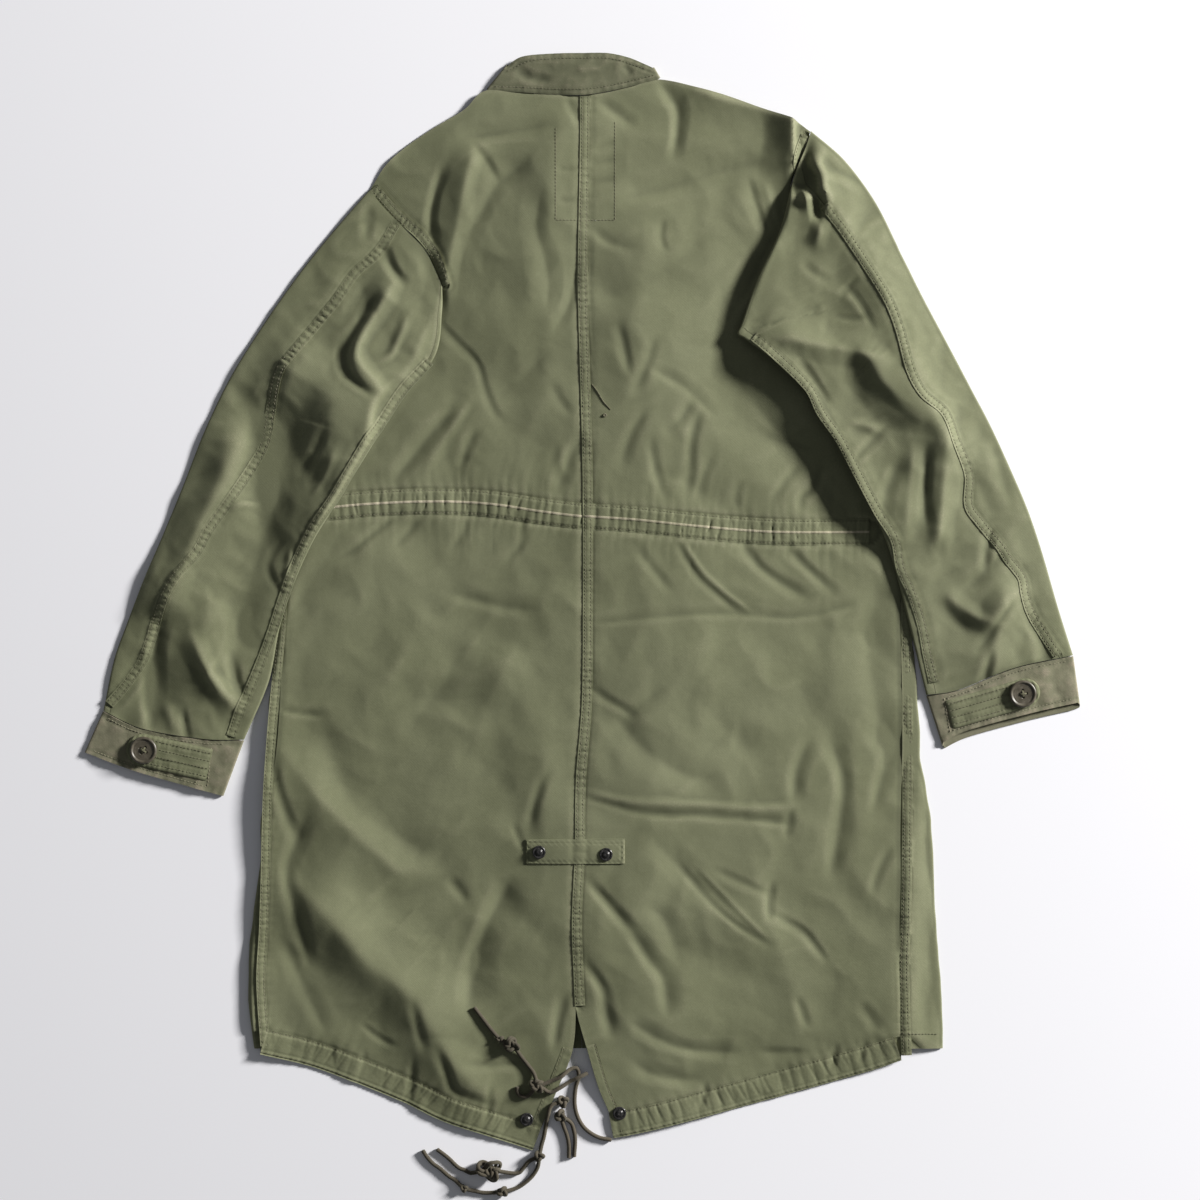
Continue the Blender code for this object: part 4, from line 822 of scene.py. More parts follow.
paleLine = ((-249, 87.5), (-236.2, 89.3), (-202.6, 92.2), (-160.3, 94.1), (-119, 94.1), (-80.6, 91.2),
            (-43.2, 85.4), (-4.8, 80.6), (10.6, 79.7), (51.8, 76.8), (108.5, 71), (184.3, 65.3),
            (275.5, 65.3))
hemEdges = {
    "left": ((-47, -527), (-96, -511), (-135, -498), (-175, -479), (-252, -449), (-308, -434)),
    "right": ((30, -515), (51, -511), (89, -502), (171, -480), (267, -453), (306, -440)),
}
seamRoutes = {name: lineThrough(points, step=5) for name, points in seams.items()}
waistRoute = lineThrough(paleLine, step=5)
hemRoutes = {side: lineThrough(points, step=5) for side, points in hemEdges.items()}
ventEdges = {"left": ((-9, -431), (-24, -470), (-39, -506), (-47, -527)),
             "right": ((4, -427), (16, -468), (27, -495), (30, -515))}
seamSetup = {"half": 4.9, "rise": 0.55, "pitch": 6.0, "tick": 0.5, "tickSize": 0.75, "puff": 0.32,
             "drawn": 0.4}
bodyStrips = [(seamRoutes[name], -seamSetup["half"], seamSetup["half"])
              for name in ("centre", "sideLeft", "sideRight", "armholeLeft", "armholeRight")]
bodyStrips += [(waistRoute, -12.5, 12.5), (hemRoutes["left"], -23.0, 1.0), (hemRoutes["right"], -1.0, 23.0)]
sleeveStrips = [(seamRoutes[name], -seamSetup["half"], seamSetup["half"])
                for name in ("elbowLeft", "elbowRight", "underarmLeft", "underarmRight", "armholeLeft",
                             "armholeRight")]


# the cloth's height anywhere on the body and on the sleeves

bodyCloth = {"crumple": ((110, 1.7), (50, -0.7), (25, 0.16)), "fine": 0.05, "least": 1.15, "sunk": 1.6}
waistSetup = {"half": 12.5, "pitch": 9.4, "puff": 0.6, "tick": 0.5, "tickSize": 0.85, "reach": 4.5,
              "more": 26.0, "rows": (-10.6, 10.6), "paleHalf": 1.15}
hemSetup = {"width": 23.0, "pitch": 12.5, "puff": 0.5, "tick": 0.5, "tickSize": 1.3, "reach": 4.0,
            "more": 12.0, "turned": 1.0, "row": 21.8, "seed": 4}
ventSetup = {"near": 0.2, "far": 9.6, "middle": 4.9, "row": 8.3}


def turnsAlong(along, pitch, seed):
    # how many puckers have passed, a little unevenly
    return (along / pitch + 0.34 * np.sin(along / 31 + seed) + 0.17 * np.sin(along / 12.7 + 2 * seed)
            + 0.11 * np.sin(along / 6.1 + 3 * seed))


def puffs(turns):
    # rounded puffs between whole turns
    return np.abs(np.sin(math.pi * turns)) ** 0.7 - 0.6


def ticks(turns, pitch, size):
    # 1 on narrow marks at whole turns, 0 between them
    return np.exp(-((turns - np.round(turns)) * pitch / size) ** 2)


def seamPuckers(x, y, names, reach=16.0):
    # the cloth drawn in beside its sewn seams
    total = np.zeros_like(x)
    for name in names:
        near, distance, _, along = nearRoute(seamRoutes[name], x, y, reach)
        turns = turnsAlong(along, seamSetup["pitch"] * 1.5, len(name))
        total[near] -= seamSetup["drawn"] * np.exp(-((distance - 6.5) / 2.8) ** 2)
        total[near] += seamSetup["puff"] * puffs(turns) * np.exp(-(distance / 8.5) ** 2)
    return total


def besideChannel(along, outside, side, setup, seed):
    # puckers that run out of a sewn channel, some short and some long
    turns = turnsAlong(along + 1.5 * np.sin(outside / 8), setup["pitch"], seed)
    uneven = np.clip(0.45 + gradientNoise(along, side * 40.0, 1.1 * setup["pitch"], seed + 5), 0, 1)
    return setup["puff"] * puffs(turns) * np.exp(-outside / (setup["reach"] + setup["more"] * uneven ** 2))


def bodyDetail(x, y, cloth=bodyCloth):
    detail = foldHeight(x, y, bodyFolds) + crumple(x, y, cloth["crumple"], 3)
    detail += cloth["fine"] * gradientNoise(x, y, 7, 11)
    near, distance, side, along = nearRoute(waistRoute, x, y, 75)
    outside = np.maximum(distance - waistSetup["half"], 0)
    detail[near] += besideChannel(along, outside, side, waistSetup, 1)
    detail[near] -= 0.6 * np.exp(-((distance - waistSetup["half"]) / 2) ** 2)
    for name, route in hemRoutes.items():
        near, distance, side, along = nearRoute(route, x, y, 60)
        outside = np.maximum(distance - hemSetup["width"], 0)
        detail[near] += besideChannel(along, outside, side, hemSetup, len(name))
        detail[near] -= 0.5 * np.exp(-((distance - hemSetup["width"]) / 2) ** 2)
    detail += seamPuckers(x, y, ("centre", "sideRight", "sideLeft", "armholeLeft", "armholeRight"))
    cover = readMap(coverMap, x, y)
    return detail * (1 - smoothStep((cover - 0.1) / 0.6))


def bodySurface(x, y, base, sunk=False):
    # height of the cloth's upper side; sunk lowers it below the fine strips that lie on it
    shape = np.shape(x)
    x, y = np.ravel(x).astype(float), np.ravel(y).astype(float)
    z = readMap(base, x, y) + bodyDetail(x, y)
    if sunk:
        z -= bodyCloth["sunk"] * stripShare(x, y, bodyStrips)
    cover = readMap(coverMap, x, y)
    under = readMap(sleeveUnderMap, x, y) + 0.35 * sleeveLift(x, y)
    z = np.where(cover > 0.3, np.minimum(z, under - 0.5 + 5 * (1 - np.minimum(cover, 1))), z)
    return np.maximum(z, bodyCloth["least"]).reshape(shape)


def onBack(x, y, sunk=False):
    return bodySurface(x, y, backMap, sunk)


def onFront(x, y, sunk=False):
    return bodySurface(x, y, frontMap, sunk)


def stripShare(x, y, strips):
    # 1 under the fine strips, 0 away from them
    share = np.zeros_like(x)
    for route, low, high in strips:
        reach = max(-low, high) + 1
        near, distance, side, _ = nearRoute(route, x, y, reach)
        offset = distance * side
        inside = smoothStep((offset - low - 0.4) / 1.6) * smoothStep((high - 0.4 - offset) / 1.6)
        share[near] = np.maximum(share[near], inside)
    return share


sleeveCloth = {"crumple": ((70, 1.5), (36, -0.7), (19, 0.2)), "fine": 0.05, "least": 1.6, "highest": 25.6,
               "bedding": 2.0, "joint": 24.0, "sunk": 1.2}


def sleeveLift(x, y):
    shape = np.shape(x)
    x, y = np.ravel(x).astype(float), np.ravel(y).astype(float)
    return np.maximum(foldHeight(x, y, sleeveLifts), 0).reshape(shape)


def sleeveLow(x, y):
    return readMap(sleeveUnderMap, np.asarray(x, float), np.asarray(y, float)) + sleeveLift(x, y)


def sleeveHigh(x, y, sunk=False, cloth=sleeveCloth):
    shape = np.shape(x)
    x, y = np.ravel(x).astype(float), np.ravel(y).astype(float)
    z = readMap(sleeveTopMap, x, y) + sleeveLift(x, y) + foldHeight(x, y, sleeveFolds)
    z += crumple(x, y, cloth["crumple"], 21) + cloth["fine"] * gradientNoise(x, y, 7, 29)
    z += seamPuckers(x, y, ("elbowLeft", "underarmLeft", "elbowRight", "underarmRight",
                            "armholeLeft", "armholeRight"))
    if sunk:
        z -= cloth["sunk"] * stripShare(x, y, sleeveStrips)
    bodyTop = readMap(backMap, x, y) + bodyDetail(x, y)
    for name in ("armholeLeft", "armholeRight"):
        near, distance, _, _ = nearRoute(seamRoutes[name], x, y, cloth["joint"])
        share = 1 - smoothStep((distance - 2) / (cloth["joint"] - 2))
        z[near] += share * (bodyTop[near] - z[near])
    low = sleeveLow(x, y)
    spare = z - low - cloth["least"]
    z = low + cloth["least"] + (spare + np.hypot(spare, cloth["bedding"])) / 2
    over = np.maximum(z - cloth["highest"] + 3, 0)
    return (z - over + 3 * (1 - np.exp(-over / 3))).reshape(shape)


# back panels

backRows = (
    (((-2, 483), (-60, 486), (-93, 488), (-113, 470), (-140, 454), (-167, 436), (-188, 417), (-203, 394)),
     ((-2, 483), (21, 486), (48, 492), (76, 499), (130, 486), (167, 473), (202, 460), (219, 449))),
    (((-2, 462), (-60, 463), (-96, 462), (-140, 432), (-191, 379)),
     ((-2, 462), (76, 474), (150, 456), (214, 434))),
    (((-2, 438), (-100, 432), (-169, 356)), ((-2, 438), (90, 444), (206, 415))),
    (((-2, 408), (-150, 336)), ((-2, 408), (200, 398))),
    (((-3, 372), (-138, 312)), ((-3, 372), (209, 370))),
    (((-4, 338), (-133, 300)), ((-4, 338), (215, 336))),
    (((-4, 302), (-140, 283)), ((-4, 302), (221, 298))),
    (((-4, 266), (-156, 267)), ((-4, 266), (238, 259))),
    (((-3, 236), (-213, 235)), ((-3, 236), (267, 230))),
    (((-1, 209), (-285, 213)), ((-1, 209), (307, 206))),
    (((1, 162), (-285, 166)), ((1, 162), (307, 160))),
    (((1, 114), (-130, 126), (-285, 122)), ((1, 114), (200, 100), (307, 98))),
    (((1, 80), (-43, 85), (-119, 94), (-236, 89), (-285, 88)), ((1, 80), (108, 71), (184, 65), (307, 64))),
    (((1, 45), (-130, 55), (-285, 52)), ((1, 45), (150, 33), (307, 28))),
    (((1, 0), (-286, 6)), ((1, 0), (305, -12))),
    (((1, -48), (-287, -44)), ((1, -48), (306, -56))),
    (((1, -96), (-289, -92)), ((1, -96), (307, -100))),
    (((-3, -140), (-292, -138)), ((-3, -140), (307, -142))),
    (((-6, -180), (-297, -178)), ((-6, -180), (306, -184))),
    (((-7, -226), (-303, -222)), ((-7, -226), (305, -228))),
    (((-8, -266), (-306, -262)), ((-8, -266), (305, -270))),
    (((-10, -306), (-307, -300)), ((-10, -306), (304, -312))),
    (((-9, -348), (-308, -330)), ((-9, -348), (305, -348))),
    (((-6, -389), (-308, -356)), ((-6, -389), (306, -378))),
    (((-9, -431), (-308, -380)), ((4, -427), (306, -398))),
    (((-24, -470), (-308, -400)), ((16, -468), (306, -411))),
    (((-39, -506), (-96, -489), (-175, -457), (-252, -428), (-308, -416)),
     ((27, -495), (89, -480), (171, -458), (267, -431), (306, -421))),
    (hemEdges["left"], hemEdges["right"]),
)
backPanel = {"across": 121, "pitch": 2.5, "thickness": 1.0, "share": 0.86,
             "flat": {"left": (0.32, 1.02), "right": (0.33, 1.01)}}


def makeBack(side, setup=backPanel):
    rows = [row[sides.index(side)] for row in backRows]
    grid = gridThrough(rows, setup["across"], setup["pitch"])
    z = onBack(grid[:, :, 0], grid[:, :, 1], True)
    edge = np.minimum(np.arange(len(z))[::-1, None] * setup["pitch"] / 3.0, 1)
    z = np.maximum(z - 0.9 * (1 - edge) ** 2, 1.1)
    top = np.dstack([grid, z])
    piece = clothShell("backPanel" + side.title(), top, shellCloth, "shell", setup["thickness"])
    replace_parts(piece, "back_" + side)
    return piece


# front panels, which turn round the sides of the coat and show as a strip

frontEdges = {
    "left": ((-434, -314), (-413, -317), (-384, -320.5), (-330, -319), (-288, -313), (-250, -308.5),
             (-211, -308), (-182, -304), (-144, -301), (-96, -300), (-38, -293), (6, -291), (213, -290)),
    "right": ((-440, 346), (-411, 346), (-364, 344), (-314, 340), (-250, 337), (-211, 335), (-153, 325),
              (-108, 323), (-56, 319), (-14, 312), (206, 312)),
}
frontTops = {
    "left": (((0, 236), (-213, 235)), ((0, 267), (-156, 267)), ((0, 302), (-133, 300)),
             ((0, 345), (-138, 312)), ((0, 380), (-60, 384), (-150, 336)),
             ((0, 400), (-50, 408), (-90, 430), (-169, 356)),
             ((0, 422), (-40, 432), (-75, 455), (-93, 486), (-112, 468), (-140, 452), (-166, 434),
              (-187, 415), (-202, 392))),
    "right": (((0, 236), (267, 230)), ((0, 267), (238, 259)), ((0, 302), (221, 298)),
              ((0, 345), (215, 336)), ((0, 380), (60, 390), (209, 370)),
              ((0, 400), (50, 412), (90, 440), (200, 398)),
              ((0, 422), (36, 434), (62, 462), (76, 496), (130, 483), (166, 470), (201, 457), (217, 446))),
}
frontPanel = {"hem": -430.0, "shown": 30.0, "pitch": 2.6, "hiddenPitch": 12.0, "fold": 1.9,
              "armpit": {"left": 213, "right": 206}, "underColumns": 16, "foldColumns": 6,
              "stripColumns": 15, "share": 0.9, "flat": {"left": (0.36, 0.93), "right": (0.38, 0.93)}}


def sideEnds(side):
    # where the back's rows end at the side seam, upwards, as y and x
    ends = [row[sides.index(side)][-1] for row in backRows[9:]]
    return np.array([(y, x) for x, y in ends])[::-1]


def makeFront(side, setup=frontPanel):
    sign = flips[side]
    armpit = setup["armpit"][side]
    ys = np.r_[np.arange(setup["hem"], setup["shown"], setup["pitch"]),
               np.arange(setup["shown"], armpit + 1, setup["hiddenPitch"])]
    ends = sideEnds(side)
    seam = np.interp(ys, ends[:, 0], ends[:, 1]) + sign * seamGap
    edgeTable = np.array(frontEdges[side])
    fold = setup["fold"]
    turn = np.interp(ys, edgeTable[:, 0], edgeTable[:, 1])
    turn += 0.8 * gradientNoise(ys, ys * 0, 24, 5) - sign * fold
    underX = sign * 0.2 + (turn - sign * 0.2)[:, None] * np.linspace(0, 1, setup["underColumns"])
    stripX = turn[:, None] + (seam - turn)[:, None] * np.linspace(0, 1, setup["stripColumns"])
    stripY = np.broadcast_to(ys[:, None], stripX.shape)
    stripZ = onFront(stripX, stripY, True)
    fromEdge = np.abs(stripX - turn[:, None])
    stripZ = np.maximum(stripZ - 1.1 * (1 - np.sqrt(np.clip(fromEdge / 9, 0, 1))), 2.2)
    angles = math.pi * np.arange(1, setup["foldColumns"]) / setup["foldColumns"]
    foldX = turn[:, None] + sign * fold * np.sin(angles)
    foldZ = stripZ[:, :1] / 2 * (1 - np.cos(angles))
    x = np.hstack([underX, foldX, stripX])
    z = np.hstack([np.zeros_like(underX), foldZ, stripZ])
    outer = np.dstack([x, np.broadcast_to(ys[:, None], x.shape), z])
    tops = []
    for line in frontTops[side]:
        row = lineThrough(line, count=x.shape[1])
        tops.append(np.column_stack([row, np.zeros(len(row))]))
    outer = np.concatenate([outer, np.array(tops)])
    piece = wrapShell("frontPanel" + side.title(), outer, shellCloth, "shell", 1.0)
    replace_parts(piece, "front_" + side)
    return piece


# sleeves

sleeveRows = {
    "left": (((-203.7, 393.6), (-191.7, 378.5), (-169.6, 355.4), (-150.6, 335.4), (-138.7, 311.6),
              (-133.8, 299.7)),
             ((-240, 352), (-134, 275)), ((-275, 308), (-140, 235)), ((-309, 259), (-168, 197)),
             ((-338, 212), (-191, 162)), ((-362, 162), (-217, 120)), ((-384, 106), (-240, 83)),
             ((-403, 60), (-259, 52)), ((-420, 20), (-277, 12)), ((-437, -24), (-290, -28)),
             ((-449, -58), (-300, -78)),
             ((-459, -106), (-422, -123), (-363, -133), (-324, -134))),
    "right": (((219.7, 449.7), (214.7, 434.3), (206.8, 415.2), (200.8, 398.2)),
              ((252, 421), (189, 353)), ((280, 384), (167, 305)), ((299, 347), (152.6, 264)),
              ((305, 334), (148.6, 254)), ((311, 322), (157, 248)),
              ((328, 288), (189, 224)), ((352, 243), (217, 199)), ((372, 205), (234, 170)),
              ((392, 167), (254, 136)), ((410, 128), (271, 100)), ((427, 88), (288, 63)),
              ((441, 47), (300, 28)), ((456, -5), (313, -22)),
              ((471, -53), (414, -65), (361, -86), (330, -91))),
}
sleevePanel = {"across": 73, "pitch": 2.5, "fold": 2.2, "roundness": 11.0, "upperColumns": 49,
               "stripColumns": 17, "foldColumns": 6, "underColumns": 14, "innerColumns": 6, "share": 0.8,
               "flatUpper": {"left": (0.13, 0.56), "right": (0.14, 0.56)},
               "flatUnder": {"left": (0.24, 0.56), "right": (0.25, 0.56)}}


def crossings(grid, route, fallback):
    # the share of each row at which it crosses a seam
    rows, cols = grid.shape[:2]
    near, distance, side, _ = nearRoute(route, grid[:, :, 0].ravel(), grid[:, :, 1].ravel(), 30)
    signed = np.full(rows * cols, np.nan)
    signed[near] = distance * side
    signed = signed.reshape(rows, cols)
    shares = np.full(rows, np.nan)
    for r, row in enumerate(signed):
        turns = np.nonzero(row[:-1] * row[1:] <= 0)[0]
        if len(turns):
            c = turns[0]
            shares[r] = (c + row[c] / (row[c] - row[c + 1] + 1e-9)) / (cols - 1)
    known = ~np.isnan(shares)
    places = np.arange(rows)
    shares = np.interp(places, places[known], shares[known]) if known.any() else np.full(rows, fallback)
    for _ in range(4):
        shares[1:-1] = (shares[:-2] + 2 * shares[1:-1] + shares[2:]) / 4
    return shares


def spotsAlong(grid, shares):
    # points of each row of a grid at its own shares
    at = np.clip(shares, 0, 1) * (grid.shape[1] - 1)
    low = np.minimum(at.astype(int), grid.shape[1] - 2)
    part = (at - low)[:, :, None]
    rows = np.arange(len(grid))[:, None]
    return grid[rows, low] * (1 - part) + grid[rows, low + 1] * part


def roundedHigh(spots, fromEdge, roundness):
    # the sleeve's upper side, coming down over its folded edges
    x, y = spots[:, :, 0], spots[:, :, 1]
    high, low = sleeveHigh(x, y, True), sleeveLow(x, y)
    share = np.sqrt(np.clip(1 - (1 - np.clip(fromEdge / roundness, 0, 1)) ** 2, 0, 1))
    return np.maximum(low + (high - low) * (0.6 + 0.4 * share), low + 2.2)


def makeSleeve(side, setup=sleevePanel):
    grid = gridThrough(sleeveRows[side], setup["across"], setup["pitch"])
    width = np.linalg.norm(np.diff(grid, axis=1), axis=2).sum(1)[:, None]
    elbow = crossings(grid, seamRoutes["elbow" + side.title()], 0.3)[:, None] * width
    underarm = crossings(grid, seamRoutes["underarm" + side.title()], 0.95)[:, None] * width
    underarm = np.minimum(underarm, width - 4.0)
    elbow = np.maximum(elbow, 7.0)
    fold = setup["fold"]

    reach = elbow + 0.2 + (underarm - elbow - 0.4) * np.linspace(0, 1, setup["upperColumns"])
    spots = spotsAlong(grid, reach / width)
    z = roundedHigh(spots, np.minimum(reach, width - reach), setup["roundness"])
    upper = clothShell("sleeveUpper" + side.title(), np.dstack([spots, z]), shellCloth, "shell", 1.0)
    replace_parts(upper, "sleeve_back_" + side)

    outerReach = elbow - 0.2 + (fold - elbow + 0.2) * np.linspace(0, 1, setup["stripColumns"])
    innerReach = width - fold + (underarm + 0.2 - width + fold) * np.linspace(0, 1, setup["innerColumns"])
    underReach = fold + (width - 2 * fold) * np.linspace(0, 1, setup["underColumns"])
    angles = math.pi * np.arange(1, setup["foldColumns"]) / setup["foldColumns"]
    outerFold = fold * (1 - np.sin(angles)) + 0 * width
    reaches = np.hstack([outerReach, outerFold, underReach, width - outerFold, innerReach])
    spots = spotsAlong(grid, reaches / width)
    z = roundedHigh(spots, np.minimum(reaches, width - reaches), setup["roundness"])
    low = sleeveLow(spots[:, :, 0], spots[:, :, 1])
    a = setup["stripColumns"]
    b = a + len(angles)
    c = b + setup["underColumns"]
    d = c + len(angles)
    z[:, b:c] = low[:, b:c]
    outerTop, outerLow = z[:, a - 1:a], z[:, b:b + 1]
    z[:, a:b] = (outerTop + outerLow) / 2 + (outerTop - outerLow) / 2 * np.cos(angles)
    innerTop, innerLow = z[:, d:d + 1], z[:, c - 1:c]
    z[:, c:d] = (innerTop + innerLow) / 2 - (innerTop - innerLow) / 2 * np.cos(angles)
    under = wrapShell("sleeveUnder" + side.title(), np.dstack([spots, z]), shellCloth, "shell", 0.9)
    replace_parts(under, "sleeve_front_" + side)
    return upper, under


# collar

collarSetup = {"pitch": 2.2, "across": 19, "radius": 1.9, "rise": 3.0, "thickness": 1.3,
               "flat": (0.40, 0.042), "rowLift": 0.1}
collarUnderLeft = (((-0.3, 422.5), (-0.3, 465)), ((-39.7, 432.9), (-30, 474)), ((-74.4, 456), (-54, 493)),
                   ((-90, 489.6), (-70, 513)))
collarBack = (((-90, 488.6), (-72, 511)), ((-75, 487.5), (-62, 519)), ((-60, 486.6), (-50, 522)),
              ((-30, 484.5), (-28, 523.5)), ((-2, 483.6), (-2, 524)), ((21, 486.6), (24, 524)),
              ((48, 492.6), (44, 520)), ((62, 496.5), (57, 515)), ((74, 499.6), (68, 510)))
collarUnderRight = (((73, 500.6), (67, 510)), ((61.2, 463), (48, 494)), ((35.6, 435), (26, 475)),
                    ((0.3, 422.5), (0.3, 465)))


def collarHeight(x, y):
    shape = np.shape(x)
    x, y = np.ravel(x).astype(float), np.ravel(y).astype(float)
    z = 3.6 + collarSetup["rise"] * np.exp(-(x / 75.0) ** 2) + crumple(x, y, ((40, 0.9), (18, -0.3)), 61)
    z += foldHeight(x, y, collarFolds) + 0.1 * gradientNoise(x, y, 6, 64)
    for rows, offset in (((row[0] for row in collarBack), 5.0), ((row[1] for row in collarBack), 5.0)):
        near, distance, _, along = nearRoute(lineThrough(list(rows), step=5), x, y, 14)
        z[near] -= 0.45 * np.exp(-((distance - offset) / 1.6) ** 2)
        z[near] += 0.45 * puffs(turnsAlong(along, 8.0, offset)) * np.exp(-(distance / 6) ** 2)
        z[near] -= 1.0 * (1 - smoothStep(distance / 4.0))
    return z.reshape(shape)


def makeCollar(setup=collarSetup):
    radius = setup["radius"]
    shares = np.linspace(0, 1, setup["across"])[None, :, None]

    def band(rows, step):
        seam = lineThrough([row[0] for row in rows], step=step)
        top = lineThrough([row[1] for row in rows], count=len(seam))
        return seam[:, None] * (1 - shares) + top[:, None] * shares

    def turn(first, second, direction, firstZ, secondZ):
        angles = math.pi * np.arange(1, 6) / 6
        rows = []
        for angle in angles:
            share = (1 - math.cos(angle)) / 2
            flat = first[:, :2] * (1 - share) + second[:, :2] * share
            flat = flat + np.array(direction) * radius * math.sin(angle)
            rows.append(np.column_stack([flat, firstZ * (1 - share) + secondZ * share]))
        return np.array(rows)

    underLeft, underRight = band(collarUnderLeft, 9), band(collarUnderRight, 9)
    back = band(collarBack, setup["pitch"])
    backZ = collarHeight(back[:, :, 0], back[:, :, 1])
    flatLeft = np.dstack([underLeft, np.zeros(underLeft.shape[:2])])
    flatRight = np.dstack([underRight, np.zeros(underRight.shape[:2])])
    upper = np.dstack([back, backZ])
    leftTurn = turn(underLeft[-1], back[0], (-0.78, 0.62), 0 * backZ[0], backZ[0])
    rightTurn = turn(back[-1], underRight[0], (0.86, 0.5), backZ[-1], 0 * backZ[-1])
    outer = np.concatenate([flatLeft, leftTurn, upper, rightTurn, flatRight])
    piece = wrapShell("collarBand", outer, collarCloth, "band", setup["thickness"])
    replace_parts(piece, "collar")
    return piece


collarRows = (((-84, 492.2), (-59.5, 491.4), (-26.9, 489.4), (-2.9, 489), (21.1, 491.8), (48, 497.6),
               (70, 503)),
              ((-72, 506.4), (-58, 513.5), (-47, 517), (-27, 518.4), (-2, 519), (23, 519), (41, 515.4),
               (61, 508.6)))


# cuffs, their tabs and buttons

cuffs = {
    "left": {"seam": ((-459.6, -106.8), (-422.4, -123.9), (-363, -133.9), (-324.2, -134.9)),
             "edge": ((-477, -146), (-431, -163), (-376, -179), (-344, -188)), "underShift": (0, 0),
             "tabRoot": (-357, -158), "tabTip": (-436, -140), "tabWidth": 31.0, "seed": 71},
    "right": {"seam": ((471.3, -53.9), (414.3, -65.9), (361.3, -86.8), (330.3, -91.9)),
              "edge": ((477, -98), (428, -109), (370, -125), (345, -137)), "underShift": (1.5, -6),
              "tabRoot": (352, -110), "tabTip": (438, -85), "tabWidth": 28.0, "seed": 81},
}
cuffSetup = {"radius": 1.9, "rise": 2.0, "rows": 19, "columns": 56, "foldColumns": 6, "thickness": 1.2,
             "flat": (0.27, 0.045), "flatTab": {"left": (0.031, 0.081), "right": (0.028, 0.089)}}
tabRows = ((3, 40), (18, 40), (8, 36), (13, 36))  # the tab's column and the last row each stitch row follows


def cuffHeight(cuff, spots, share):
    # the cuff's upper side: a crown across it, with puckered stitch rows along both of its edges
    x, y = spots[:, :, 0], spots[:, :, 1]
    flatX, flatY = x.ravel(), y.ravel()
    z = 3.8 + cuffSetup["rise"] * np.sin(math.pi * share)[None, :] + 0 * x
    z = z.ravel() + crumple(flatX, flatY, ((30, 0.9), (14, 0.35)), cuff["seed"])
    z += 0.12 * gradientNoise(flatX, flatY, 5, cuff["seed"] + 9)
    for line, inset in ((cuff["seam"], 3.5), (cuff["edge"], 4.5)):
        near, distance, _, along = nearRoute(lineThrough(line, step=5), flatX, flatY, 12)
        z[near] -= 0.5 * np.exp(-((distance - inset) / 1.5) ** 2)
        z[near] += 0.5 * puffs(turnsAlong(along, 6.5, inset)) * np.exp(-(distance / 6) ** 2)
    return z.reshape(x.shape)


def makeCuff(side, setup=cuffSetup):
    cuff = cuffs[side]
    radius = setup["radius"]
    seam = lineThrough(cuff["seam"], count=121)
    edge = lineThrough(cuff["edge"], count=121)
    shares = np.linspace(0, 1, setup["rows"])[:, None, None]
    grid = seam[None] * (1 - shares) + edge[None] * shares
    width = np.linalg.norm(np.diff(grid, axis=1), axis=2).sum(1)[:, None]
    angles = math.pi * np.arange(1, setup["foldColumns"]) / setup["foldColumns"]
    span = np.linspace(0, 1, setup["columns"])
    topReach = radius + (width - 2 * radius) * span
    foldReach = width - radius * (1 - np.sin(angles))
    lowReach = topReach[:, ::-4]
    backReach = radius * (1 - np.sin(angles)) + 0 * width
    reaches = np.hstack([topReach, foldReach, lowReach, backReach])
    spots = spotsAlong(grid, reaches / width)
    z = np.zeros(spots.shape[:2])
    a = topReach.shape[1]
    b = a + len(angles)
    c = b + lowReach.shape[1]
    z[:, :a] = cuffHeight(cuff, spots[:, :a], span)
    z[:, a:b] = z[:, a - 1:a] / 2 * (1 + np.cos(angles))
    z[:, c:] = z[:, :1] / 2 * (1 - np.cos(angles))
    shift = np.array(cuff["underShift"])
    part = np.r_[np.zeros(a), np.linspace(0, 1, b - a + 2)[1:-1], np.ones(c - b),
                 np.linspace(1, 0, len(angles) + 2)[1:-1]]
    spots = spots + shift * shares * part[None, :, None]
    outer = np.dstack([spots, z])
    piece = wrapShell("cuffBand" + side.title(), outer, bandCloth, "band", setup["thickness"], closed=True)
    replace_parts(piece, "cuff_" + side)
    return piece, outer[:, :a]


cuffRows = {"left": (((-373.4, -138), (-369.6, -176)), ((-355, -141), (-359, -179))),
            "right": (((346.8, -93.5), (353, -127)), ((350.2, -92.5), (356.6, -126)))}


def cuffStitches(side, surface):
    # rows along both edges of the cuff and the pale bars that hold the tab's root
    cuff = cuffs[side]
    seam, edge = lineThrough(cuff["seam"], count=40), lineThrough(cuff["edge"], count=40)
    length = np.linalg.norm(edge - seam, axis=1)[:, None]
    routes = [seam + (edge - seam) * inset / length for inset in (3.5, length - 4.5)]
    routes = [route[2:-2] for route in routes] + [np.array(route) for route in cuffRows[side]]
    onCuff = heightOn(surface)
    return [stitchRow(route[::4] if len(route) > 4 else route, onCuff) for route in routes]


def nearestHeight(surface, x, y, reach):
    # highest point of a surface's own grid near a spot
    gap = np.hypot(surface[:, :, 0] - x, surface[:, :, 1] - y)
    close = surface[:, :, 2][gap < reach]
    return close.max() if len(close) else surface[:, :, 2].ravel()[gap.argmin()]


def heightOn(surface):
    # a function that reads a surface's height under its stitches
    def heights(x, y):
        return np.array([nearestHeight(surface, a, b, 1.6) for a, b in zip(np.ravel(x), np.ravel(y))])

    return heights


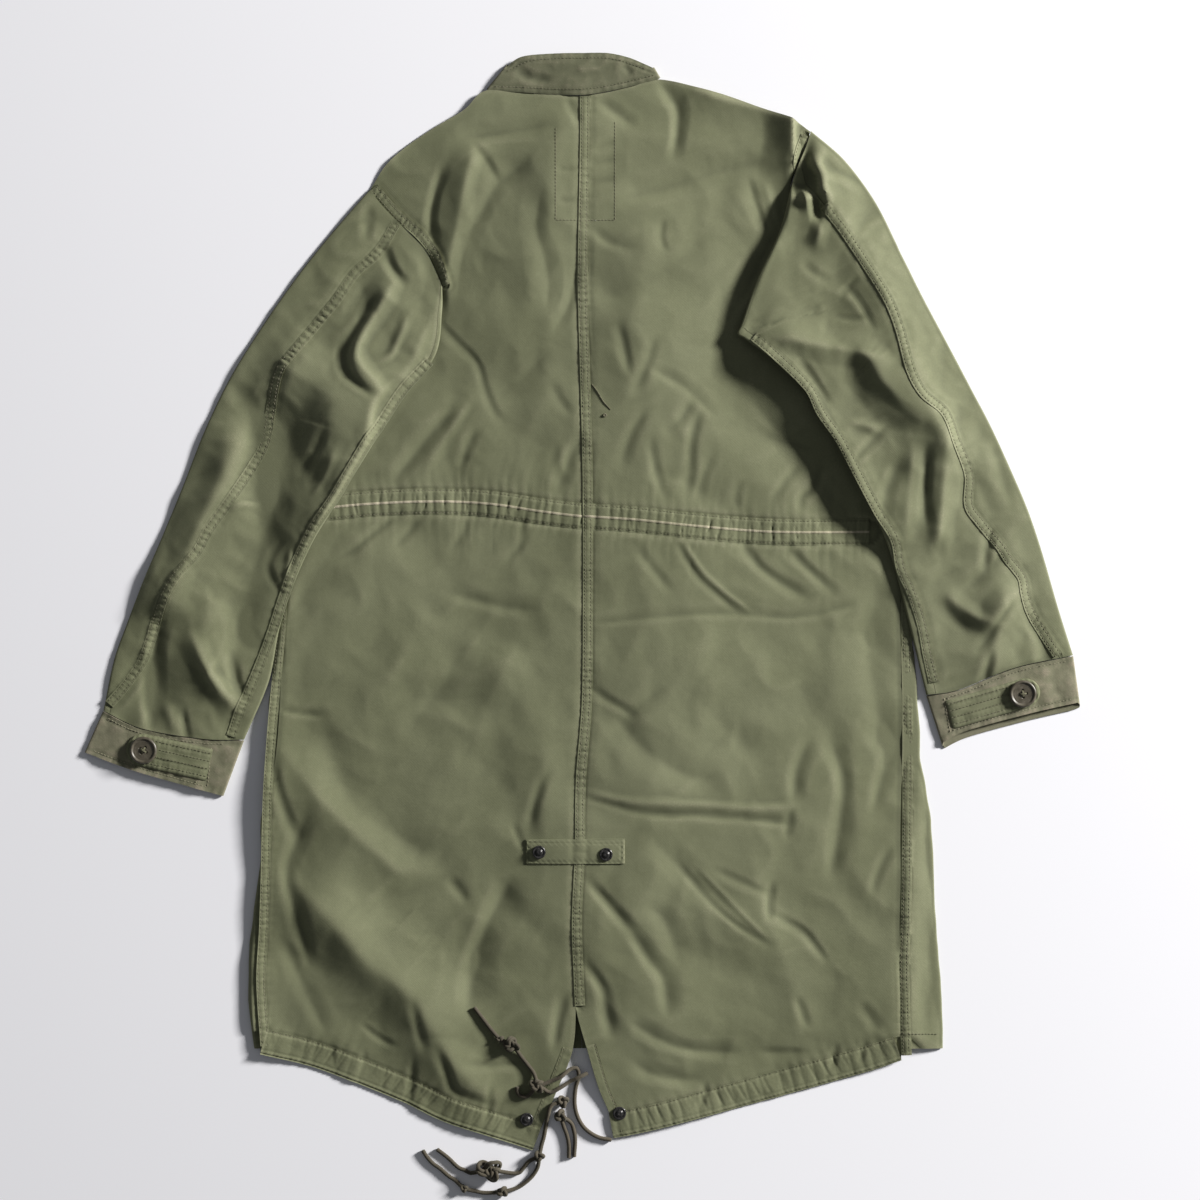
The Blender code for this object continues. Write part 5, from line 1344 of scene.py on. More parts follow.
def makeTab(side, cuffTop):
    # a doubled strap with a round tip, quilted by its rows of stitching
    cuff = cuffs[side]
    root, tip = np.array(cuff["tabRoot"], float), np.array(cuff["tabTip"], float)
    length = np.linalg.norm(tip - root)
    forward = (tip - root) / length
    sideways = np.array([-forward[1], forward[0]])
    half = cuff["tabWidth"] / 2
    reach = length * (1 - (1 - np.linspace(0, 1, 52)) ** 1.35)
    fromTip = length - reach
    halves = np.where(fromTip >= half, half, np.sqrt(np.maximum(half ** 2 - (half - fromTip) ** 2, 6.0)))
    across = np.linspace(-1, 1, 22)
    top = np.zeros((len(reach), len(across), 3))
    for r in range(len(reach)):
        for c, share in enumerate(across):
            spot = root + forward * reach[r] + sideways * halves[r] * share
            top[r, c] = (*spot, 0)
    slopes = np.array([[nearestHeight(cuffTop, *spot[:2], 2.6) for spot in row[::3]] for row in top[::3]])
    u = np.linspace(0, len(slopes) - 1, top.shape[0])
    v = np.linspace(0, slopes.shape[1] - 1, top.shape[1])
    iu, iv = np.minimum(u.astype(int), len(slopes) - 2), np.minimum(v.astype(int), slopes.shape[1] - 2)
    fu, fv = (u - iu)[:, None], (v - iv)[None, :]
    rest = (slopes[np.ix_(iu, iv)] * (1 - fu) * (1 - fv) + slopes[np.ix_(iu + 1, iv)] * fu * (1 - fv)
            + slopes[np.ix_(iu, iv + 1)] * (1 - fu) * fv + slopes[np.ix_(iu + 1, iv + 1)] * fu * fv)
    inset = np.minimum(halves[:, None] * (1 - np.abs(across)), fromTip[:, None] + 0.5)
    quilt = 0.32 * np.abs(np.sin(math.pi * inset / 5.2)) ** 0.6
    ladder = 0.25 * np.sin(2 * math.pi * reach / 5.0)[:, None] * np.exp(-((inset - 4) / 5) ** 2)
    edge = 1 - smoothStep(inset / 2.0)
    top[:, :, 2] = rest + 1.35 + quilt + ladder - 0.6 * edge - 0.8 * (1 - smoothStep(reach / 3.0))[:, None]
    x, y = top[:, :, 0].ravel(), top[:, :, 1].ravel()
    top[:, :, 2] += (0.35 * gradientNoise(x, y, 14, cuff["seed"] + 3)).reshape(rest.shape)
    piece = clothShell("cuffTab" + side.title(), top, shellCloth, "band", 1.2)
    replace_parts(piece, "cuff_tab_" + side)
    return piece, top, tip - forward * 17.0


def lathe(profile, sides, ripple=None):
    # points and faces of a turned form from (radius, height) steps that start and end on the axis
    points, rings, faces = [], [], []
    for radius, height in profile:
        if radius == 0:
            rings.append([len(points)])
            points.append((0.0, 0.0, height))
            continue
        ring = []
        for k in range(sides):
            angle = 2 * math.pi * k / sides
            x, y = radius * math.cos(angle), radius * math.sin(angle)
            ring.append(len(points))
            points.append((x, y, height + (ripple(x, y) if ripple else 0.0)))
        rings.append(ring)
    for low, high in zip(rings, rings[1:]):
        for k in range(sides):
            after = (k + 1) % sides
            if len(low) == 1:
                faces.append((low[0], high[k], high[after]))
            elif len(high) == 1:
                faces.append((low[k], low[after], high[0]))
            else:
                faces.append((low[k], low[after], high[after], high[k]))
    return np.array(points), faces


def joined(parts):
    points, faces, start = [], [], 0
    for more, sidesOfIt in parts:
        points.append(np.asarray(more, float))
        faces += [[start + k for k in face] for face in sidesOfIt]
        start += len(more)
    return np.vstack(points), faces


def tube(path, radius, sides=8, bulge=None):
    # a round tube with closed ends along a path; bulge changes its radius by ring and side
    path = np.array(path, float)
    count = len(path)
    ways = np.gradient(path, axis=0)
    ways /= np.maximum(np.linalg.norm(ways, axis=1, keepdims=True), 1e-9)
    up = np.array([0.0, 0.0, 1.0]) if abs(ways[0][2]) < 0.9 else np.array([1.0, 0.0, 0.0])
    rings = []
    angles = 2 * math.pi * np.arange(sides) / sides
    for k in range(count):
        right = np.cross(ways[k], up)
        right /= max(np.linalg.norm(right), 1e-9)
        up = np.cross(right, ways[k])
        size = radius * (np.ones(sides) if bulge is None else bulge[k])
        rings.append(path[k] + (np.cos(angles) * size)[:, None] * right
                     + (np.sin(angles) * size)[:, None] * up)
    points = np.vstack(rings + [path[:1] - ways[:1] * radius * 0.35, path[-1:] + ways[-1:] * radius * 0.35])
    faces = gridFaces(count, sides, 0, closed=True)
    first, last = len(points) - 2, len(points) - 1
    for k in range(sides):
        after = (k + 1) % sides
        faces.append((first, after, k))
        faces.append((last, (count - 1) * sides + k, (count - 1) * sides + after))
    return points, faces


buttonSetup = {"radius": 13.0, "rim": 3.1, "dish": 2.0, "dishReach": 7.0, "hole": 1.25, "holeRing": 3.3,
               "sides": 72, "turned": {"left": 0.2, "right": 0.9}}


def buttonRipple(x, y, setup=buttonSetup):
    # four holes sunk into the button's dish
    total = 0.0
    if math.hypot(x, y) >= setup["dishReach"]:
        return total
    for k in range(4):
        angle = math.pi / 4 + k * math.pi / 2
        gap = math.hypot(x - setup["holeRing"] * math.cos(angle), y - setup["holeRing"] * math.sin(angle))
        total -= 1.5 * float(1 - smoothStep((gap - setup["hole"] * 0.7) / 0.5))
    return total


def makeButton(side, spot, floor, setup=buttonSetup):
    radius, rim, dish, turnedBy = setup["radius"], setup["rim"], setup["dish"], setup["turned"][side]
    profile = [(0, 0), (radius * 0.82, 0), (radius * 0.97, 0.7), (radius, 1.4), (radius, 2.0),
               (radius * 0.975, 2.6), (radius * 0.93, rim - 0.1), (radius * 0.88, rim + 0.15),
               (radius * 0.83, rim), (radius * 0.79, rim - 0.5), (radius * 0.75, dish + 0.15),
               (radius * 0.70, dish), (radius * 0.66, dish + 0.12), (radius * 0.62, dish + 0.1)]
    profile += [(r, dish - 0.02 * (8 - r)) for r in np.arange(7.6, 0.3, -0.35)] + [(0, dish - 0.1)]
    body, faces = lathe(profile, setup["sides"], buttonRipple)
    body[body[:, 2] < 0, 2] = 0.3
    turn = np.array([[math.cos(turnedBy), -math.sin(turnedBy)], [math.sin(turnedBy), math.cos(turnedBy)]])
    body[:, :2] = body[:, :2] @ turn.T
    body += (*spot, floor)
    button = buildMesh("cuffButton" + side.title(), body, faces, buttonPlastic, "button", 50)
    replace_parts(button, "cuff_button_" + side)
    threads = []
    ring = setup["holeRing"]
    for first, second in ((0, 2), (1, 3)):
        for shift in (-0.35, 0.35):
            angles = [math.pi / 4 + hole * math.pi / 2 + turnedBy for hole in (first, second)]
            a, b = (np.array([math.cos(t), math.sin(t)]) * ring for t in angles)
            off = np.array([-(b - a)[1], (b - a)[0]]) / np.linalg.norm(b - a) * shift
            path = [(*(spot + a * (1 - t) + b * t + off),
                     floor + dish - 1.0 + 1.9 * math.sin(math.pi * t) ** 0.4 + 0.3 * first)
                    for t in np.linspace(0, 1, 11)]
            threads.append(tube(path, 0.42, 6))
    buildMesh("cuffButtonThread" + side.title(), *joined(threads), threadMaterial, "band")


# snaps and the strip that carries two of them

snapStripSetup = {"x": (-54.0, 41.0), "y": (-253.0, -229.0), "thickness": 1.0, "flat": (0.095, 0.024)}
snaps = {"snap_strip_left": (-41.0, -241.0), "snap_strip_right": (23.0, -243.0),
         "snap_tail_left": (-53.0, -498.0), "snap_tail_right": (36.0, -492.0)}
snapProfile = ((0, 0), (6.0, 0), (6.35, 0.3), (6.4, 0.8), (6.1, 1.25), (5.5, 1.5), (4.9, 1.4), (4.4, 1.05),
               (4.0, 0.95), (3.6, 1.1), (3.3, 1.6), (2.8, 2.2), (2.1, 2.6), (1.2, 2.75), (0.6, 2.5),
               (0, 2.35))


def makeStrip(setup=snapStripSetup):
    (x0, x1), (y0, y1) = setup["x"], setup["y"]
    xs = np.linspace(x0, x1, 64)
    ys = np.linspace(y1, y0, 19)
    x, y = np.meshgrid(xs, ys)
    y = y + 0.012 * (x - x0) + 0.5 * gradientNoise(x, y, 20, 91)
    inset = np.minimum(np.minimum(x - x0, x1 - x), np.minimum(y - ys.min(), ys.max() - y))
    z = onBack(x, y) + 1.5 - 0.8 * (1 - smoothStep(inset / 1.6)) - 0.5 * np.exp(-((inset - 2.8) / 1.0) ** 2)
    z += 0.18 * np.sin(2 * math.pi * (x + y) / 5.2) * np.exp(-((inset - 3) / 3) ** 2)
    piece = clothShell("snapStrip", np.dstack([x, y, z]), shellCloth, "shell", setup["thickness"])
    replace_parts(piece, "snap_strip")
    return piece


def makeSnap(node, floor):
    points, faces = lathe(snapProfile, 40)
    points = points + (*snaps[node], floor)
    name = "snap" + "".join(word.title() for word in node.split("_")[1:])
    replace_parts(buildMesh(name, points, faces, snapEnamel, "snap", 50), node)


# stitches: short threads set end to end along a row

stitchSetup = {"pitch": 3.4, "length": 2.5, "radius": 0.34, "rise": 0.25}


def wayOf(line):
    # the direction along a line and the one to its left
    ways = np.gradient(line, axis=0)
    ways /= np.maximum(np.linalg.norm(ways, axis=1, keepdims=True), 1e-9)
    return ways, np.stack([-ways[:, 1], ways[:, 0]], axis=1)


def stitches(middles, heights, setup=stitchSetup):
    # each stitch is a small spindle, its ends sunk in the cloth
    ways, across = wayOf(middles)
    half, radius = setup["length"] / 2, setup["radius"]
    points = []
    for reach, size, height in ((-1, 0, -0.3), (-0.55, 1, 0.75), (0.55, 1, 0.75), (1, 0, -0.3)):
        base = middles + ways * half * reach
        top = heights + setup["rise"] * height
        if size == 0:
            points.append(np.column_stack([base, top])[:, None])
        else:
            ring = [np.column_stack([base + across * radius * s, top + radius * t])
                    for s, t in ((1, 0), (0, 1), (-1, 0), (0, -1))]
            points.append(np.stack(ring, axis=1))
    points = np.concatenate(points, axis=1)
    faces = []
    for k in range(len(middles)):
        o = k * 10
        for s in range(4):
            t = (s + 1) % 4
            faces.append((o, o + 1 + t, o + 1 + s))
            faces.append((o + 1 + s, o + 1 + t, o + 5 + t, o + 5 + s))
            faces.append((o + 9, o + 5 + s, o + 5 + t))
    return points.reshape(-1, 3), faces


def stitchRow(route, surface, lift=0.0):
    middles = lineThrough(route, step=stitchSetup["pitch"])
    middles = (middles[:-1] + middles[1:]) / 2
    return stitches(middles, surface(middles[:, 0], middles[:, 1]) + lift)


def looseThread():
    # a thread end pulled out of the back, and the knot it hangs from
    path = lineThrough(((9.6, 206.4), (15.4, 198.7), (21.1, 189.1), (27.5, 182.0)), step=1.5)
    lift = 0.25 + 0.3 * np.sin(np.linspace(0, math.pi, len(path)))
    line = np.column_stack([path, onBack(path[:, 0], path[:, 1]) + lift])
    around = np.linspace(0, 2 * math.pi, 9)
    x, y = 22.1, 176.6
    loop = np.column_stack([x + 1.4 * np.cos(around), y + 1.1 * np.sin(around),
                            onBack(x, y) + 0.5 + 0 * around])
    return [tube(line, 0.36, 6), tube(loop, 0.7, 6)]


# fine strips: sewn bands, channels and hems, each a narrow piece of cloth with its own small form

stripSetup = {"along": 1.2, "across": 0.95, "drop": 1.5}


def fineNoise(along, offset, size, seed):
    # noise by place along and beside a route, whichever way each of them runs
    return gradientNoise(along + 0 * offset, offset + 0 * along, size, seed)


def fineStrip(name, route, surface, span, form, rows=(), material=None):
    # span is how far the strip reaches right and left of its route, form its own height by place along and
    # beside the route, rows where its stitches run
    line = lineThrough(route, step=stripSetup["along"])
    along = marksOf(line)
    across = wayOf(line)[1]
    count = max(4, round((span[1] - span[0]) / stripSetup["across"])) + 1
    beside = np.linspace(*span, count)
    spots = line[:, None] + across[:, None] * beside[None, :, None]
    z = surface(spots[:, :, 0], spots[:, :, 1]) + form(along[:, None], beside[None, :])
    stripWearAndFoldShade = crestWearAndFoldShade(z)
    z = np.hstack([z[:, :1] - stripSetup["drop"], z, z[:, -1:] - stripSetup["drop"]])
    z = np.maximum(z, 0.3)
    stripWearAndFoldShade = np.hstack([stripWearAndFoldShade[:, :1], stripWearAndFoldShade, stripWearAndFoldShade[:, -1:]])
    spots = np.concatenate([spots[:, :1], spots, spots[:, -1:]], axis=1)
    n, cols = z.shape
    faces = gridFaces(n, cols)
    faces += [((r + 1) * cols, (r + 2) * cols - 1, (r + 1) * cols - 1, r * cols) for r in range(n - 1)]
    faces += [list(range(cols)), list(range((n - 1) * cols, n * cols))[::-1]]
    piece = buildMesh(name, np.dstack([spots, z]).reshape(-1, 3), faces, material or shellCloth, "shell", 50,
                      stripWearAndFoldShade.ravel())
    sewn = []
    for offset in rows:
        at = np.arange(stitchSetup["pitch"] / 2, along[-1], stitchSetup["pitch"])
        middles = np.column_stack([np.interp(at, along, column) for column in (line + across * offset).T])
        lift = form(at[:, None], np.array([[offset]]))[:, 0]
        sewn.append(stitches(middles, surface(middles[:, 0], middles[:, 1]) + lift))
    return piece, sewn


def groove(offset, places, size=0.7):
    return sum(np.exp(-((offset - place) / size) ** 2) for place in places)


def felledSeam(seed, edge=-1, setup=seamSetup, rise=None):
    # a flat felled seam: its turned edge stands up on one side, and ladders of small puckers cross it
    half = setup["half"]

    def form(along, offset):
        flat = np.zeros_like(along)
        strength = np.clip(0.6 + 0.8 * gradientNoise(along, flat + seed, 27, seed), 0.1, 1.3)
        turns = turnsAlong(along + 0.2 * offset, setup["pitch"], seed)
        share = offset / half * edge
        z = (rise or setup["rise"]) * (0.75 + 0.35 * share)
        middle = np.exp(-(share / 0.8) ** 6)
        z = z - setup["tick"] * strength * ticks(turns, setup["pitch"], setup["tickSize"]) * middle
        z = z + 0.2 * strength * puffs(turns) * middle
        z = z - 0.3 * groove(offset, (-0.55 * half, 0.55 * half))
        return z + 0.12 * fineNoise(along, offset, 2.6, seed + 7)

    return form


def waistChannel(along, offset, setup=waistSetup):
    # the gathered drawcord channel: sharp puckers between two stitch rows
    shifted = along + 1.3 * np.sin(offset / 6.0 + along / 23) + 3.4 * np.sin(along / 17.3)
    turns = turnsAlong(shifted, setup["pitch"], 1)
    strength = np.clip(0.75 + 1.3 * gradientNoise(along, 0 * along + 30, 13, 6), 0.1, 1.5)
    depth = setup["tick"] * strength * ticks(turns, setup["pitch"], setup["tickSize"])
    depth = depth * np.clip(0.75 + 1.2 * fineNoise(along, 1.6 * offset, 11, 15), 0.1, 1.4)
    z = 0.32 - depth * np.exp(-(offset / 9.6) ** 6) - 0.35 * groove(offset, setup["rows"], 0.8)
    finer = ticks(turnsAlong(along, 4.6, 3), 4.6, 0.8)
    z = z - 0.25 * finer * groove(offset, setup["rows"], 2.4)
    return z + 0.1 * fineNoise(along, offset, 2.4, 8)


def paleThread(along, offset):
    # the line rubbed pale over the cord that lies in the channel
    return waistChannel(along, 0 * offset) * 0.8 + 0.5 - 0.12 * offset ** 2


def hemChannel(along, offset, setup=hemSetup):
    # the hem's drawcord channel, its edge drawn into small scallops
    turns = turnsAlong(along + 0.25 * offset, setup["pitch"], setup["seed"])
    inner = setup["width"] - 1.2
    strength = np.clip(0.6 + 0.8 * gradientNoise(along, 0 * along + 12, 30, 9), 0.1, 1.2)
    z = 0.45 - (setup["tick"] * strength * ticks(turns, setup["pitch"], setup["tickSize"])
                * np.exp(-((offset - 13) / 9) ** 6))
    z = z - 0.45 * groove(offset, (inner,), 0.8) - 0.3 * groove(offset, (4.2,), 0.7)
    z = z - 0.3 * ticks(turnsAlong(along, 4.4, 5), 4.4, 0.8) * groove(offset, (inner,), 2.4)
    scallop = puffs(turnsAlong(along + 0.5 * offset, 4.2, 2))
    z = z + (0.5 * scallop + 0.3) * np.exp(-(offset / 2.4) ** 4) - 0.9 * np.exp(-(offset / 0.8) ** 2)
    return z + 0.1 * fineNoise(along, offset, 2.4, 10)


def facingEdge(along, offset):
    # a turned facing: stitched near its inner edge, a little drawn in
    z = 0.35 + 0.15 * puffs(turnsAlong(along, 9.0, 1)) - 0.35 * groove(offset, (3.4,))
    return z + 0.1 * fineNoise(along, offset, 2.6, 12)


# the hem's drawcord

cordSetup = {"diameter": 3.8, "step": 0.9, "sides": 14, "braid": 5.2, "relief": 0.075}
cordGap = 0.3
knots = {
    "knot_join": (-42, -465, 7.5, 7, 5), "knot_up": (-66.5, -425.5, 8.4, 8, 4.8),
    "knot_up_end": (-78.3, -420, 4.4, 3.6, 3.2), "knot_side": (-18, -480.4, 6, 7, 4.5),
    "knot_fringe": (-20.5, -494, 6.5, 7, 5), "knot_tip": (-41, -533, 6, 5.8, 4.6),
    "knot_cluster": (-88, -546, 14, 12, 7), "knot_fork": (-76, -567, 6.4, 5.6, 4.6),
    "knot_low_end": (-113, -564, 4.4, 4.2, 3.6),
}
cordRight = ((28, -518, 0), (15, -515, 0), (3, -507, 0), (-4, -496, 0), (-7, -483, 0), (-6, -468, 0),
             (-3, -457, 0), (-5, -449, 1), (-12, -450, 3), (-20, -456, 1), (-28, -459.5, 0))
cordCross = ((-31, -471, 0), (-22, -467.5, 0), (-12, -461.5, 3), (-3, -457, 5.5), (5, -453.5, 2))
cordUp = ((-46, -453, 0), (-51, -446, 0), (-58, -437, 0))
cordUpFree = ((-86, -412, 0), (-93, -403, 0), (-103, -390, 0))
cordEdge = ((-38.5, -522, 0), (-36.5, -515, 0), (-34.5, -504, 0), (-32.5, -494, 0), (-29, -484, 0))
cordFringeRight = ((-11, -501, 0), (-8, -508, 0), (-6.5, -518, 0), (-7.5, -534, 0))
cordFringeLeft = ((-17.5, -505, 0), (-14.5, -513, 0), (-12.5, -523, 0), (-12.5, -535, 0))
cordHook = ((-51, -474.5, 0), (-57, -475.5, 0), (-61.5, -472, 0), (-62, -466, 0))
cordLowInner = ((-51.5, -539, 0), (-57, -546, 0), (-64, -550, 0))
cordLowInnerFree = ((-106, -549.5, 0), (-112, -547, 0), (-119, -544, 0), (-128.5, -535, 0), (-139, -527, 0))
cordLowOuter = ((-42.5, -544, 0), (-48, -553, 0), (-56.5, -560.5, 0), (-64, -564.5, 0))
cordLowMiddle = ((-87, -568.5, 0), (-95, -568.5, 0), (-102, -567, 0))
cordLowOuterFree = ((-121, -557, 0), (-128, -552.5, 0), (-136, -545.5, 0), (-143, -540.5, 0),
                    (-148.5, -534.5, 0), (-152.6, -528, 0))


def treeOf(pieces):
    points, faces = [], []
    for piece in pieces:
        start = len(points)
        points += [vertex.co.copy() for vertex in piece.data.vertices]
        faces += [[start + k for k in face.vertices] for face in piece.data.polygons]
    return BVHTree.FromPolygons(points, faces)


def restHeight(tree, x, y, reach):
    # highest point of what lies under a spot, 0 on the ground
    best = 0.0
    for r in (0.0, reach / 2, reach):
        for k in range(8 if r else 1):
            angle = k * math.pi / 4
            spot = Vector(((x + r * math.cos(angle)) * mm, (y + r * math.sin(angle)) * mm, 0.2))
            hit = tree.ray_cast(spot, Vector((0, 0, -1)))[0]
            if hit is not None:
                best = max(best, hit.z / mm)
    return best


def cordFloor(tree, x, y, reach):
    # where the cord's underside may lie: on the ground, or a little above the cloth
    floor = restHeight(tree, x, y, reach)
    return floor + cordGap if floor > 0 else 0


def knotMiddle(name, tree):
    x, y, rx, ry, rz = knots[name]
    return np.array([x, y, cordFloor(tree, x, y, 0.8 * min(rx, ry)) + rz])


def cordLine(stops, tree):
    # a smooth line through knots and points; between them the cord lies on what is under it
    radius = cordSetup["diameter"] / 2
    points = []
    for stop in stops:
        if isinstance(stop, str):
            points.append(knotMiddle(stop, tree))
            continue
        for x, y, lift in stop:
            points.append(np.array([x, y, cordFloor(tree, x, y, radius) + radius + lift]))
    line = lineThrough(points, step=cordSetup["step"] * 4)
    for spot in line:
        spot[2] = max(spot[2], cordFloor(tree, spot[0], spot[1], 1.2) + radius)
    line[1:-1, 2] = (line[:-2, 2] + line[1:-1, 2] + line[2:, 2]) / 3
    return lineThrough(line, step=cordSetup["step"])


def braid(line):
    # the cord's surface: strands that cross over and under each other
    along = marksOf(line)[:, None]
    angles = 2 * math.pi * np.arange(cordSetup["sides"]) / cordSetup["sides"]
    turn = 2 * math.pi * along / cordSetup["braid"]
    relief = np.sin(turn + 2 * angles) * np.sin(turn - 2 * angles)
    wander = 0.03 * gradientNoise(along + 0 * angles, angles * 2 + 0 * along, 3, 7)
    return 1 + cordSetup["relief"] * relief + wander


def buildCord(name, tree, stops, replaced, knotsOnIt, exitKnot=None, farEnd="bare"):
    line = cordLine(stops, tree)
    points, faces = tube(line, cordSetup["diameter"] / 2, cordSetup["sides"], braid(line))
    piece = buildMesh(name, points, faces, cordCotton, "cord", 60)
    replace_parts(piece, *replaced)
    length = marksOf(line)[-1]
    spot = line[0] if exitKnot is None else knotMiddle(exitKnot, tree)
    [knotPieces[node] for node in knotsOnIt]
    print(f"{name}: {length:.0f} mm of cord")


knotTurns = {"knot_join": (0.4, 2), "knot_up": (1.1, 2), "knot_up_end": (0.2, 1), "knot_side": (2.0, 1),
             "knot_fringe": (0.9, 1), "knot_tip": (1.6, 1), "knot_cluster": (0.3, 3), "knot_fork": (0.7, 1),
             "knot_low_end": (1.9, 1)}


def buildKnot(node, tree):
    # overhand turns of the same cord, drawn tight into the knot's own size
    _, _, rx, ry, rz = knots[node]
    radius = cordSetup["diameter"] / 2
    turned, count = knotTurns[node]
    middle = knotMiddle(node, tree)
    t = np.linspace(0, 2 * math.pi, 73)[:-1]
    parts = []
    for k in range(count):
        shrink = 1 - 0.22 * k
        thick = radius * (0.92 if rx > 5 else 0.75)
        x = (np.sin(t) + 2 * np.sin(2 * t)) / 3 * (rx - thick) * shrink
        y = (np.cos(t) - 2 * np.cos(2 * t)) / 3 * (ry - thick) * shrink
        z = -np.sin(3 * t) * (rz - thick) * (0.9 if k == 0 else 0.7)
        angle = turned + 1.9 * k
        shift = np.array([2.5 * math.cos(3 * k), 2.5 * math.sin(2 * k)]) * (k > 0)
        flat = np.column_stack([x * math.cos(angle) - y * math.sin(angle) * rx / ry,
                                x * math.sin(angle) * ry / rx + y * math.cos(angle)]) + shift
        line = np.column_stack([flat, z]) + middle
        line = lineThrough(np.vstack([line, line[:1]]), step=cordSetup["step"])
        parts.append(tube(line, thick, 12, braid(line)[:, :12]))
    piece = buildMesh("knot" + "".join(word.title() for word in node.split("_")[1:]), *joined(parts),
                      cordCotton, "cord", 60)
    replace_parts(piece, node)
    return piece


# the coat, piece by piece

backs = [makeBack(side) for side in sides]
print("back panels made")
fronts = [makeFront(side) for side in sides]
print("front panels made")
sleeves = {side: makeSleeve(side) for side in sides}
print("sleeves made")
collar = makeCollar()
cuffPieces, tabPieces = {}, {}
for side in sides:
    cuffPieces[side], cuffTop = makeCuff(side)
    tab, tabTop, buttonSpot = makeTab(side, cuffTop)
    tabPieces[side] = tab
    makeButton(side, buttonSpot, nearestHeight(tabTop, *buttonSpot, 9.0) + 0.1)
    onTab = heightOn(tabTop)
    quilted = [stitchRow(tabTop[:last:6, column, :2], onTab) for column, last in tabRows]
    buildMesh("cuffTabStitches" + side.title(), *joined(quilted), threadMaterial, "band")
    buildMesh("cuffStitches" + side.title(), *joined(cuffStitches(side, cuffTop)), wornCloth, "band")
collarSewn = [stitchRow(route, collarHeight, collarSetup["rowLift"]) for route in collarRows]
buildMesh("collarStitches", *joined(collarSewn), threadMaterial, "band")
strip = makeStrip()
stripTree = treeOf([strip] + backs)
for node, (x, y) in snaps.items():
    makeSnap(node, restHeight(stripTree, x, y, 5.0) + 0.05)
print("collar, cuffs and fastenings made")

sewnOn = {place: [] for place in ("back", "sleeveLeft", "sleeveRight")}
stripsOn = {place: [] for place in sewnOn}


def addStrip(place, *given, **more):
    piece, sewn = fineStrip(*given, **more)
    stripsOn[place].append(piece)
    sewnOn[place] += sewn


rowsOfSeam = (-2.7, 2.7)
# title, seam, what it lies on, half its width, and what sets its form apart
backSeams = (("CentreBack", "centre", onBack, 4.9, {}), ("SideLeft", "sideLeft", onBack, 4.4, {}),
             ("SideRight", "sideRight", onFront, 5.0, {}),
             ("ArmholeLeft", "armholeLeft", onBack, 4.9, {"edge": 1, "rise": 1.0}),
             ("ArmholeRight", "armholeRight", onBack, 4.0, {}))
for seed, (title, name, surface, half, more) in enumerate(backSeams, 1):
    addStrip("back", "seam" + title, seams[name], surface, (-half, half), felledSeam(seed, **more),
             rowsOfSeam)
waistHalf, paleHalf = waistSetup["half"], waistSetup["paleHalf"]
addStrip("back", "waistChannel", paleLine, onBack, (-waistHalf, waistHalf), waistChannel, waistSetup["rows"])
addStrip("back", "wornWaistLine", paleLine, onBack, (-paleHalf, paleHalf), paleThread, material=wornCloth)


def sideSpan(near, far, flip):
    # the same reach beside a route, mirrored on the left side
    return (near, far) if flip > 0 else (-far, -near)


for side, flip in flips.items():
    addStrip("back", "hemChannel" + side.title(), hemEdges[side], onBack,
             sideSpan(-hemSetup["turned"], hemSetup["width"], flip),
             lambda along, offset: hemChannel(along, flip * offset), (flip * hemSetup["row"],))
    addStrip("back", "ventFacing" + side.title(), ventEdges[side], onBack,
             sideSpan(ventSetup["near"], ventSetup["far"], flip),
             lambda along, offset: facingEdge(along, flip * offset - ventSetup["middle"]),
             (flip * ventSetup["row"],))
for side, flip in flips.items():
    title = side.title()
    for name, seed, edge in (("Elbow", 6, -flip), ("Underarm", 7, flip)):
        addStrip("sleeve" + title, "seam" + name + title, seams[name.lower() + title], sleeveHigh,
                 (-seamSetup["half"], seamSetup["half"]), felledSeam(seed, edge), rowsOfSeam)

neckRows = ((-25, 452), (-25, 362.9), (31.7, 362.9), (31.7, 458))
for ends in zip(neckRows, neckRows[1:]):
    sewnOn["back"].append(stitchRow(ends, onBack))
sewnOn["back"].append(stitchRow(((312, -415), (341, -416)), onFront, 0.3))
sewnOn["back"] += looseThread()
buildMesh("stitchesBack", *joined(sewnOn["back"]), threadMaterial, "shell")
for side in sides:
    buildMesh("stitchesSleeve" + side.title(),
                                     *joined(sewnOn["sleeve" + side.title()]), threadMaterial, "shell")
print("sewn strips and stitches made")

# cords
cordTree = treeOf(backs + fronts)
knotPieces = {name: buildKnot(name, cordTree) for name in knots}
